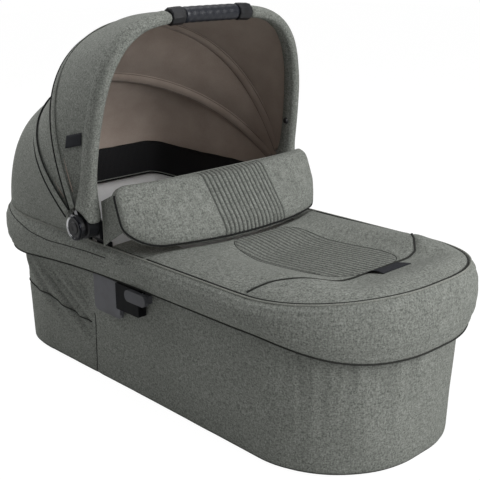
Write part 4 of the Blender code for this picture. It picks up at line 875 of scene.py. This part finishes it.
def flapFrame(y):
    t = min(abs(y) / flap["half"], 1.0)
    low = Vector((flap["baseX"] - flap["baseBow"] * t ** 2.5, y, flap["baseZ"] + flap["climb"] * t ** 2))
    high = Vector((flap["topX"] - flap["topBow"] * t ** 2, y, flap["topZ"] - flap["fall"] * t ** 2))
    rise = high - low
    pastLow, pastTop = (clamp((abs(y) - flap["half"] + flap[key]) / flap[key]) for key in ("lowCorner", "topCorner"))
    cutLow = flap["lowCorner"] * 0.8 * (1 - (1 - pastLow ** 2) ** 0.5)
    cutTop = flap["topCorner"] * (1 - (1 - pastTop ** 2) ** 0.5)
    up = rise.normalized()
    out = Vector((up.z, 0.0, -up.x)).normalized()
    return low + up * cutLow, up, rise.length - cutLow - cutTop, out, t


def makeFlap():
    fine = flap["ribPitch"] / 8
    count = round(flap["ribs"] / fine)
    middle = [fine * k for k in range(-count, count + 1)]
    outer = [mix(count * fine, flap["half"], sin(pi / 2 * k / 46)) for k in range(1, 47)]
    places = [-y for y in reversed(outer)] + middle + outer
    loop = 72
    rows = []
    for y in places:
        low, up, tall, out, t = flapFrame(y)
        thick = mix(flap["thick"], flap["end"], ease((t - 0.75) / 0.25))
        closing = (1 - max(0.0, (t - 0.972) / 0.028) ** 2) ** 0.5 if t < 1 else 0.0
        row = []
        for k in range(loop + 1):
            angle = 2 * pi * k / loop
            across = signedPower(cos(angle), 0.75)  # +1 at the front face
            along = signedPower(sin(angle), 0.42)
            deep = thick * (0.62 if cos(angle) > 0 else 0.38) * across * closing
            row.append(low + up * tall * (0.5 + along * 0.5 * mix(0.90, 1.0, closing)) + out * deep)
        rows.append(row)
    mesh = sheetMesh("wind_flap_pad", rows, True, lambda point: point - Vector((0.026, point.y, 0.314)))
    puff(mesh, flap["recipe"])
    dark = mesh.attributes["groove"]
    surface = surfaceOf(mesh)
    normals = [v.normal.copy() for v in mesh.vertices]
    for k, vertex in enumerate(mesh.vertices):
        if abs(vertex.co.y) < flap["ribs"]:
            front = ease(normals[k].dot(flapFrame(vertex.co.y)[3]) / 0.5)
            groove = 1 - ribWave(vertex.co.y, flap["ribPitch"]) ** 0.55
            vertex.co = vertex.co - normals[k] * flap["ribDeep"] * groove * front
            # painted shade: the flap's cloth is drawn darker in the grooves between its ribs
            dark.data[k].value = 0.9 * front * (1 - ribWave(vertex.co.y, flap["ribPitch"])) ** 1.3
    piece = finishPiece("wind_flap_pad", mesh, [melange], "flap")
    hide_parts("wind_flap")
    # thick black piping along the front face's lower edge and up both ends
    run = []
    for k in range(-150, 151):
        y = 0.2040 * sin(pi / 2 * k / 150)
        low, up, tall, out, t = flapFrame(y)
        run.append(low + up * 0.0035 + out * mix(flap["thick"] * 0.40, flap["end"] * 0.30, ease((t - 0.55) / 0.40)))
    for side, sign in bothSides:
        low, up, tall, out, t = flapFrame(sign * 0.2046)
        climb = [low + up * tall * (0.08 + 0.86 * k / 20) + out * flap["end"] * 0.30 for k in range(21)]
        run = list(reversed(climb)) + run if side == "right" else run + climb
    laid = laidOn(surface, evenly(run, 320), 0.0004)
    tubeAlong("flap_piping", laid, flap["piping"], blackPiping, "flap")
    topLine = []
    for k in range(-110, 111):
        low, up, tall, out, t = flapFrame(0.198 * k / 110)
        topLine.append(low + up * tall * 0.985 + out * flap["thick"] * 0.28)
    tubeAlong("flap_top_seam", laidOn(surface, topLine, 0.0002), flap["seam"], piping, "flap")


# the apron's cloth runs on past each end of the flap, up to the hub
corner = {"from": -0.0700, "to": 0.0500, "in": 0.1180, "out": 0.0190, "crown": 0.0030, "thick": 0.0014}


def makeCorners():
    for side, sign in bothSides:
        def at(share, along):
            x = mix(corner["from"], corner["to"], along)
            y = mix(half["width"] - corner["out"], corner["in"], share)
            rise = corner["crown"] * sin(pi * share * 0.5) + 0.0006 * noise.noise(Vector((x * 30, y * 30, 9)))
            return Vector((x, sign * y, rimTop(x) + 0.0004 + rise))

        sewSheet("apron_corner_" + side, gridRows(12, 24, at), [melange], corner["thick"],
                 body="rim")


makeCorners()


# a cloth wing behind each end of the flap closes the gap to the hub
wing = {"edgeX": -0.0690, "edgeY": 0.2000, "low": 0.2600, "high": 0.3310, "swell": 0.0035, "thick": 0.0026,
        "tuckX": -0.0200, "edge": 0.0016}


def makeWings():
    for side, sign in bothSides:
        low, up, tall, out, t = flapFrame(sign * 0.2025)

        def at(share, height):
            near = low + up * tall * (0.05 + 0.90 * height) - out * 0.002
            far = Vector((wing["edgeX"], sign * wing["edgeY"], mix(wing["low"], wing["high"], height)))
            swell = 0.6 + 0.4 * noise.noise(Vector((share * 3, height * 4, sign)))
            return near.lerp(far, share) + Vector((0, sign * wing["swell"] * sin(pi * share) * swell, 0))

        rows = gridRows(14, 24, at)
        name = "flap_wing_" + side
        piece = sewSheet(name, rows, [melange], wing["thick"],
                         lambda point: Vector((0, point.y, 0)), "flap")
        # the pale edge cord is painted highlight along the wing's lit free edge
        edge = tubeAlong(name + "_edge", rows[-1], wing["edge"], highlightPiping, "flap")
        for soft in (piece, edge):  # the wing and its edge each get their own copy of their mesh
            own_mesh(soft)


makeFlap()
makeWings()
print("wind flap stuffed")


# hood: three cloth panels on two sprung bows and the carry handle
hood = {"hub": Vector((-0.090, 0.0, 0.292)), "lift": 0.0047, "cloth": 0.0016, "start": 0.027, "frontStart": 0.030,
        "rows": 22, "fan": 0.0026, "fanReach": 0.20, "seamBack": 0.0125, "seam": 0.0012, "rimIn": 0.0128,
        "rimFrom": 0.120}
bows = {"front": (radians(9.1), 0.2165, 0.314, 4.34, 3.48), "mid": (radians(-27.0), 0.22795, 0.3210, 1.95, 3.15),
        "rear": (radians(-54.0), 0.23025, 0.3105, 1.75, 2.98)}


def bowPoint(angle, bow, grow=0.0):
    lean, wide, rise, sidePower, topPower = bow
    y = -(wide + grow) * signedPower(cos(angle), 2 / sidePower)
    out = (rise + grow) * abs(sin(angle)) ** (2 / topPower)
    return Vector((hood["hub"].x + out * sin(lean), y, hood["hub"].z + out * cos(lean)))


def bowRun(bow, startOut, grow=0.0, count=150):
    first = asin(min(1.0, (startOut / (bow[2] + grow)) ** (bow[4] / 2)))
    return evenly([bowPoint(mix(first, pi - first, k / 500), bow, grow) for k in range(501)], count)


def fromHub(point):
    return Vector((point.x + 0.09, point.y * 1.2, point.z - 0.27))


def panelRows(first, last, rows, sag, crease):
    def polar(point):
        dx, dz = point.x - hood["hub"].x, point.z - hood["hub"].z
        return hypot(dx, dz), atan2(dx, dz), point.y

    result = []
    for n in range(rows + 1):
        share = n / rows
        pull = 1 - sag * 4 * share * (1 - share)
        line = []
        for k, (a, b) in enumerate(zip(first, last)):
            (ra, ta, ya), (rb, tb, yb) = polar(a), polar(b)
            if tb - ta > pi:
                tb -= 2 * pi
            out, turn, y = mix(ra, rb, share) * pull, mix(ta, tb, share), mix(ya, yb, share)
            around = k / (len(first) - 1)
            ruck = crease * 4 * share * (1 - share) * noise.noise(Vector((around * 11, share * 2.2, crease * 900)))
            # the cloth gathers into fans towards each hub
            edge = min(around, 1 - around)
            low = max(0.0, 1 - edge / hood["fanReach"])
            ruck += hood["fan"] * low * sin(share * pi * 5 + 1) * sin(pi * share)
            out += ruck * ease(edge / 0.03)
            line.append(Vector((hood["hub"].x + out * sin(turn), y * mix(1, pull, 0.5),
                                hood["hub"].z + out * cos(turn))))
        result.append(line)
    return result


def headRun(inset, start, count=150):
    run = [Vector((x, y, rimTop(x) + 0.0006)) for x, y in outline(inset) if x < -start]
    left, right = (Vector((-start, sign * (half["width"] - inset), rimTop(start))) for sign in (1, -1))
    return list(reversed(evenly([left] + run + [right], count)))


def makeHood():
    lift = hood["lift"]
    back = Vector((cos(bows["front"][0]), 0.0, -sin(bows["front"][0]))) * -hood["seamBack"]
    front = [p + back for p in bowRun(bows["front"], hood["frontStart"], 0.0022)]
    # painted shade: this dark cord stands in for the shadow line where the sleeve stands proud of the front panel
    tubeAlong("hood_front_seam_shade", [p - back * 0.06 for p in front], hood["seam"], thread, "handle")
    midHigh, midLow = bowRun(bows["mid"], hood["frontStart"], lift), bowRun(bows["mid"], hood["start"], lift)
    rear = bowRun(bows["rear"], hood["start"], lift)
    rim = headRun(hood["rimIn"], hood["rimFrom"])
    # the last number is a share of a panel's width past its edges; the two points it gives are worked out and not
    # used
    panels = (("hood_front_panel", front, midHigh, 0.022, 0.0045, "canopy_front", "hood_mid", "handle", 0.10),
              ("hood_middle_panel", midLow, rear, 0.036, 0.0035, "canopy_middle", "hood_rear", "hood_mid", 0.08),
              ("hood_rear_panel", rear, rim, -0.042, 0.0050, "canopy_back", "rim", "hood_rear", 0.09))
    for name, first, last, sag, crease, node, bodyA, bodyB, past in panels:
        rows = panelRows(first, last, hood["rows"], sag, crease)
        piece = sewSheet(name, rows, [melange, taupe], hood["cloth"], fromHub)
        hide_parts(node)
        low, high = last[len(first) // 2], first[len(first) // 2]
        tuple(low.lerp(high, -past))
        tuple(low.lerp(high, 1 + past))
        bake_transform(piece)


# casings over the bows: a strip of the same cloth with a piped edge on each side
casing = {"mid": 0.0065, "rear": 0.0075, "start": 0.030, "crown": 0.0009, "thick": 0.0007, "blackPiped": 0.0011,
          "plainPiped": 0.0008}
# inside, the lining wraps the sprung strip and is stitched down on both sides of it; its rows by place and height
tunnel = {"start": 0.054, "half": 0.0048, "thick": 0.0004, "stitchAt": 0.0088, "stitch": 0.0006, "rows": (
    (-2.3, 0.0006), (-1.8, 0.0002), (-1.25, -0.0008), (-0.9, -0.0015), (0, -0.0018), (0.9, -0.0015),
    (1.25, -0.0008), (1.8, 0.0002), (2.3, 0.0006))}


def makeCasings():
    lift = hood["lift"]
    for name in ("mid", "rear"):
        bow, body, wide = bows[name], "hood_" + name, casing[name]
        along = Vector((cos(bow[0]), 0.0, -sin(bow[0])))
        rows = []
        for k in range(7):
            side = mix(-1, 1, k / 6)
            grow = lift + casing["crown"] * (1 - side ** 4) + 0.0001
            rows.append([p + along * wide * side for p in bowRun(bow, casing["start"], grow)])
        sewSheet(name + "_bow_casing", rows, [melange], casing["thick"], fromHub, body)
        for edge, side in bothEdges:
            line = [p + along * (wide + 0.0008) * side for p in bowRun(bow, casing["start"], lift + 0.0007)]
            radius, cord = casing["blackPiped"], blackPiping
            if name == "mid" and edge == "front":
                radius, cord = casing["plainPiped"], piping
            tubeAlong(f"{name}_bow_piping_{edge}", line, radius, cord, body)
        rows = [[p + along * tunnel["half"] * side for p in bowRun(bow, tunnel["start"], grow)]
                for side, grow in tunnel["rows"]]
        sewSheet(name + "_bow_tunnel", rows, [taupe], tunnel["thick"],
                 lambda point: -fromHub(point), body)
        for edge, side in bothEdges:
            line = [p + along * tunnel["stitchAt"] * side for p in bowRun(bow, tunnel["start"], 0.0004)]
            tubeAlong(f"{name}_bow_inner_stitch_{edge}", line, tunnel["stitch"], lining, body)


makeHood()
makeCasings()
print("hood stretched")


# black vent band inside the hood, round the head end
vent = {"in": 0.0229, "swell": 0.0012, "from": -0.127, "low": 0.0023, "tall": 0.0655, "rows": 14, "thick": 0.0014,
        "elastic": 0.0014, "hem": 0.0010}


def makeVent():
    rows = []
    for line in range(vent["rows"] + 1):
        share = line / vent["rows"]
        row = []
        for x, y in outline(vent["in"] + vent["swell"] * sin(pi * share)):
            if x < vent["from"]:
                top = vent["tall"] + 0.0018 * noise.noise(Vector((x * 30, y * 30, 2)))
                row.append(Vector((x, y, rimTop(x) - vent["low"] + top * share)))
        rows.append(row)
    piece = sewSheet("vent_net", rows, [net], vent["thick"],
                     lambda point: -fromAxis(point), "rim")
    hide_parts("vent_band")
    top = [p + Vector((0, 0, 0.0004)) for p in rows[-1]]
    edge = tubeAlong("vent_elastic", top, vent["elastic"], blackPiping, "rim")
    low = [Vector((p.x * 0.996, p.y * 0.996, p.z + 0.004)) for p in rows[0]]
    tubeAlong("vent_hem", low, vent["hem"], piping, "rim")
    for soft in (piece, edge):
        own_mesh(soft)


makeVent()


# carry handle: cloth sleeves, leatherette grip
sleeve = {"across": 0.0150, "out": 0.0095, "power": 0.86, "from": 0.0215, "gripHalf": 0.056, "collar": 0.026,
          "sides": 36, "thick": 0.0012, "grip": 0.0125, "hubOut": 0.0226, "hubLeast": 0.0085}


def frontRun():
    first = asin(min(1.0, (0.0086 / bows["front"][2]) ** (bows["front"][4] / 2)))
    return evenly([bowPoint(mix(first, pi - first, k / 900), bows["front"]) for k in range(901)], 420)


def sweptSkin(name, path, section):
    lean = bows["front"][0]
    normal = Vector((cos(lean), 0.0, -sin(lean)))
    rows = []
    for n, spot in enumerate(path):
        before, after = path[max(n - 1, 0)], path[min(n + 1, len(path) - 1)]
        side = normal.cross((after - before).normalized()).normalized()
        rows.append([spot + normal * a + side * b for a, b in section(n, len(path))])
    return sheetMesh(name, rows, True)


def saddle(mesh, path, sign):
    # the sleeve's lower edge drapes over the round hub, and the skin faces outwards
    hub = hood["hub"]
    for vertex in mesh.vertices:
        over = max(sleeve["hubOut"] ** 2 - (vertex.co.x - hub.x) ** 2, sleeve["hubLeast"] ** 2) ** 0.5
        climb = vertex.co.z - path[0].z
        share = 1 - clamp(climb / 0.022)
        vertex.co.z = mix(vertex.co.z, hub.z + over + climb * 0.9, share ** 1.5)
    skin = bmesh.new()
    skin.from_mesh(mesh)
    bmesh.ops.recalc_face_normals(skin, faces=skin.faces)
    skin.normal_update()
    facing = 0.0
    for face in skin.faces:
        at = face.calc_center_median()
        if abs(at.y) > 0.205 and at.z < 0.45:
            facing += (at.y - sign * bows["front"][1]) * face.normal.y * face.calc_area()
    if facing < 0:
        bmesh.ops.reverse_faces(skin, faces=skin.faces)
    skin.to_mesh(mesh)
    skin.free()


def makeHandle():
    line = frontRun()
    count = sleeve["sides"]
    for side, sign in bothSides:
        path = [p for p in line if p.y * sign > sleeve["gripHalf"] + sleeve["collar"] + 0.0006
                and p.z > hood["hub"].z + sleeve["from"]]
        if sign > 0:
            path.reverse()

        def section(n, total):
            end = min(n, total - 1 - n)
            close = 1 - 0.32 * max(0.0, 1 - end / 3) ** 2
            flare = 1 + 0.62 * max(0.0, 1 - n / 30) ** 2
            points = []
            for k in range(count + 1):
                c, s = cos(2 * pi * k / count), sin(2 * pi * k / count)
                bend = hump(total - 34 - n, 26)
                ruck = 1 + (0.035 + 0.05 * bend) * noise.noise(Vector((c * 1.5 + n * 0.06, s * 1.5, sign + n * 0.05)))
                seam = 0.0007 * hump(((k + 2) % count) / count - 0.25, 0.02)
                a = sleeve["across"] * signedPower(c, sleeve["power"]) * close * flare * ruck
                b = sleeve["out"] * signedPower(s, sleeve["power"]) * close * flare ** 1.4 * ruck - seam * s
                points.append((a, b))
            return points

        mesh = sweptSkin("sleeve_" + side, path, section)
        saddle(mesh, path, sign)
        piece = finishPiece("handle_sleeve_" + side, mesh, [cover], "handle")
        thicken(piece, sleeve["thick"])
        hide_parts("handle_cover_" + side)
    path = [p for p in line if abs(p.y) < sleeve["gripHalf"] - 0.0002]

    def grip(n, total):
        end = min(n, total - 1 - n)
        swell = sleeve["grip"] * (1 - 0.10 * max(0.0, 1 - end / 3) ** 2) + 0.0002 * sin(n * 0.9)
        points = []
        for k in range(count + 1):
            angle = 2 * pi * k / count
            pinch = 0.0006 * hump(abs(k / count - 0.75), 0.012)
            points.append(((swell - pinch) * cos(angle), (swell - pinch) * sin(angle)))
        return points

    mesh = sweptSkin("grip", path, grip)
    skin = bmesh.new()
    skin.from_mesh(mesh)
    bmesh.ops.holes_fill(skin, edges=[e for e in skin.edges if e.is_boundary], sides=0)
    bmesh.ops.recalc_face_normals(skin, faces=skin.faces)
    skin.to_mesh(mesh)
    skin.free()
    piece = finishPiece("grip_hide", mesh, [hide], "handle")
    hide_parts("handle_grip")


makeHandle()
print("handle covered")


# woven tag on the right side of the hood's front panel, left plain
hoodTag = {"back": -0.1270, "front": -0.0900, "low": 0.4080, "high": 0.4270, "slope": 0.009, "off": 0.0014,
           "curl": 0.0015, "thick": 0.0009}


def makeHoodTag():
    surface = surfaceOf(bpy.data.objects["hood_front_panel"].data)

    def at(share, along):
        x = mix(hoodTag["back"], hoodTag["front"], along)
        z = mix(hoodTag["low"], hoodTag["high"], share) + hoodTag["slope"] * along
        spot = surface.ray_cast(Vector((x, -0.30, z)), Vector((0, 1, 0)))[0]
        if spot is None:
            spot = surface.find_nearest(Vector((x, -0.220, z)))[0]
        return Vector((x, spot.y - hoodTag["off"] - hoodTag["curl"] * sin(pi * along), z))

    piece = sewSheet("hood_tag", gridRows(6, 14, at), [label], hoodTag["thick"],
                     lambda point: Vector((0, -1, 0)))
    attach(piece, "handle")


makeHoodTag()


# polished ring on each hub cap: rounder than the solid's flat washer
ring = {"radius": 0.0174, "thick": 0.0021, "y": 0.2399}


def makeHubRings():
    for side, sign in bothSides:
        turns = [2 * pi * k / 72 for k in range(72)]
        points = [hood["hub"] + Vector((ring["radius"] * cos(turn), sign * ring["y"], ring["radius"] * sin(turn)))
                  for turn in turns]
        piece = tubeAlong("hub_ring_" + side, points, ring["thick"], chrome, "rim", True, 4)
        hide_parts("hub_trim_" + side)


makeHubRings()


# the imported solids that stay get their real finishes
def repaint():
    kinds = ((boardPolymer, ("base_board",)), (rubber, ("base_pad",)), (greyPolymer, ("rim_frame", "adaptor_plate")),
             (leverPolymer, ("release_lever",)), (mattPolymer, ("adaptor_socket",)), (chrome, ("hub_trim",)),
             (blackPolymer, ("stand_bracket", "stand_rest", "hub_bracket", "hub_cap", "hub_button", "handle_hub",
                             "grip_collar", "snap_stud")),
             (steel, ("handle_tube", "mid_bow", "rear_bow", "stand_head", "stand_foot", "hub_axle", "button_spring",
                      "lever_spring")))
    for name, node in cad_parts.items():
        for finish, starts in kinds:
            if name.startswith(starts):
                for slotNow in node.material_slots:
                    slotNow.material = finish


repaint()


# studio: pale floor, soft light from the foot end and above
studio = {"floor": "#CBCBCA", "size": 9.0, "seenWhite": 0.86, "white": 1.13, "world": 0.28, "aim": (0, 0, 0.2)}
lamps = (("key", (2.25, 0.40, 1.25), (1.5, 1.4), 41.0), ("top", (-0.2, 0.2, 2.4), (2.0, 2.0), 19.0),
         ("back", (-2.3, -0.5, 1.6), (1.6, 1.2), 24.0))  # place, size and watts


def softbox(name, at, size, watts):
    lamp = bpy.data.lights.new(name, "AREA")
    lamp.shape, lamp.size, lamp.size_y, lamp.energy = "RECTANGLE", size[0], size[1], watts
    holder = bpy.data.objects.new(name, lamp)
    bpy.context.scene.collection.objects.link(holder)
    holder.location = at
    holder.rotation_euler = (Vector(studio["aim"]) - Vector(at)).to_track_quat("-Z", "Y").to_euler()


def makeStudio():
    for lamp in lamps:
        softbox(*lamp)
    floorMesh = bmesh.new()
    bmesh.ops.create_grid(floorMesh, x_segments=2, y_segments=2, size=studio["size"])
    mesh = bpy.data.meshes.new("floor")
    floorMesh.to_mesh(mesh)
    floorMesh.free()
    floor = bpy.data.objects.new("floor", mesh)
    bpy.context.scene.collection.objects.link(floor)
    finish = bpy.data.materials.new("white studio floor")
    tree = emptied(finish)
    seen = addNode(tree, "LightPath")
    mostly = addNode(tree, "Math", {"operation": "MULTIPLY", 1: studio["seenWhite"]},
                     {0: seen.outputs["Is Camera Ray"]})
    matt = addNode(tree, "BsdfDiffuse", {"Color": linear(studio["floor"])})
    white = addNode(tree, "Emission", {"Color": (1, 1, 1, 1), "Strength": studio["white"]})
    both = addNode(tree, "MixShader", {}, {0: mostly, 1: matt, 2: white})
    addNode(tree, "OutputMaterial", {}, {"Surface": both})
    mesh.materials.append(finish)
    world = bpy.data.worlds.new("studio")
    tree = emptied(world)
    seen = addNode(tree, "LightPath")
    clear = addNode(tree, "Math", {"operation": "MAXIMUM"},
                    {0: seen.outputs["Is Camera Ray"], 1: seen.outputs["Is Transmission Ray"]})
    strength = addNode(tree, "MapRange", {"To Min": studio["world"], "To Max": 1.0}, {"Value": clear})
    sky = addNode(tree, "Background", {"Color": (1, 1, 1, 1)}, {"Strength": strength})
    addNode(tree, "OutputWorld", {}, {"Surface": sky})
    bpy.context.scene.world = world


makeStudio()
bpy.context.scene.view_settings.view_transform = "Standard"
print("studio lit")
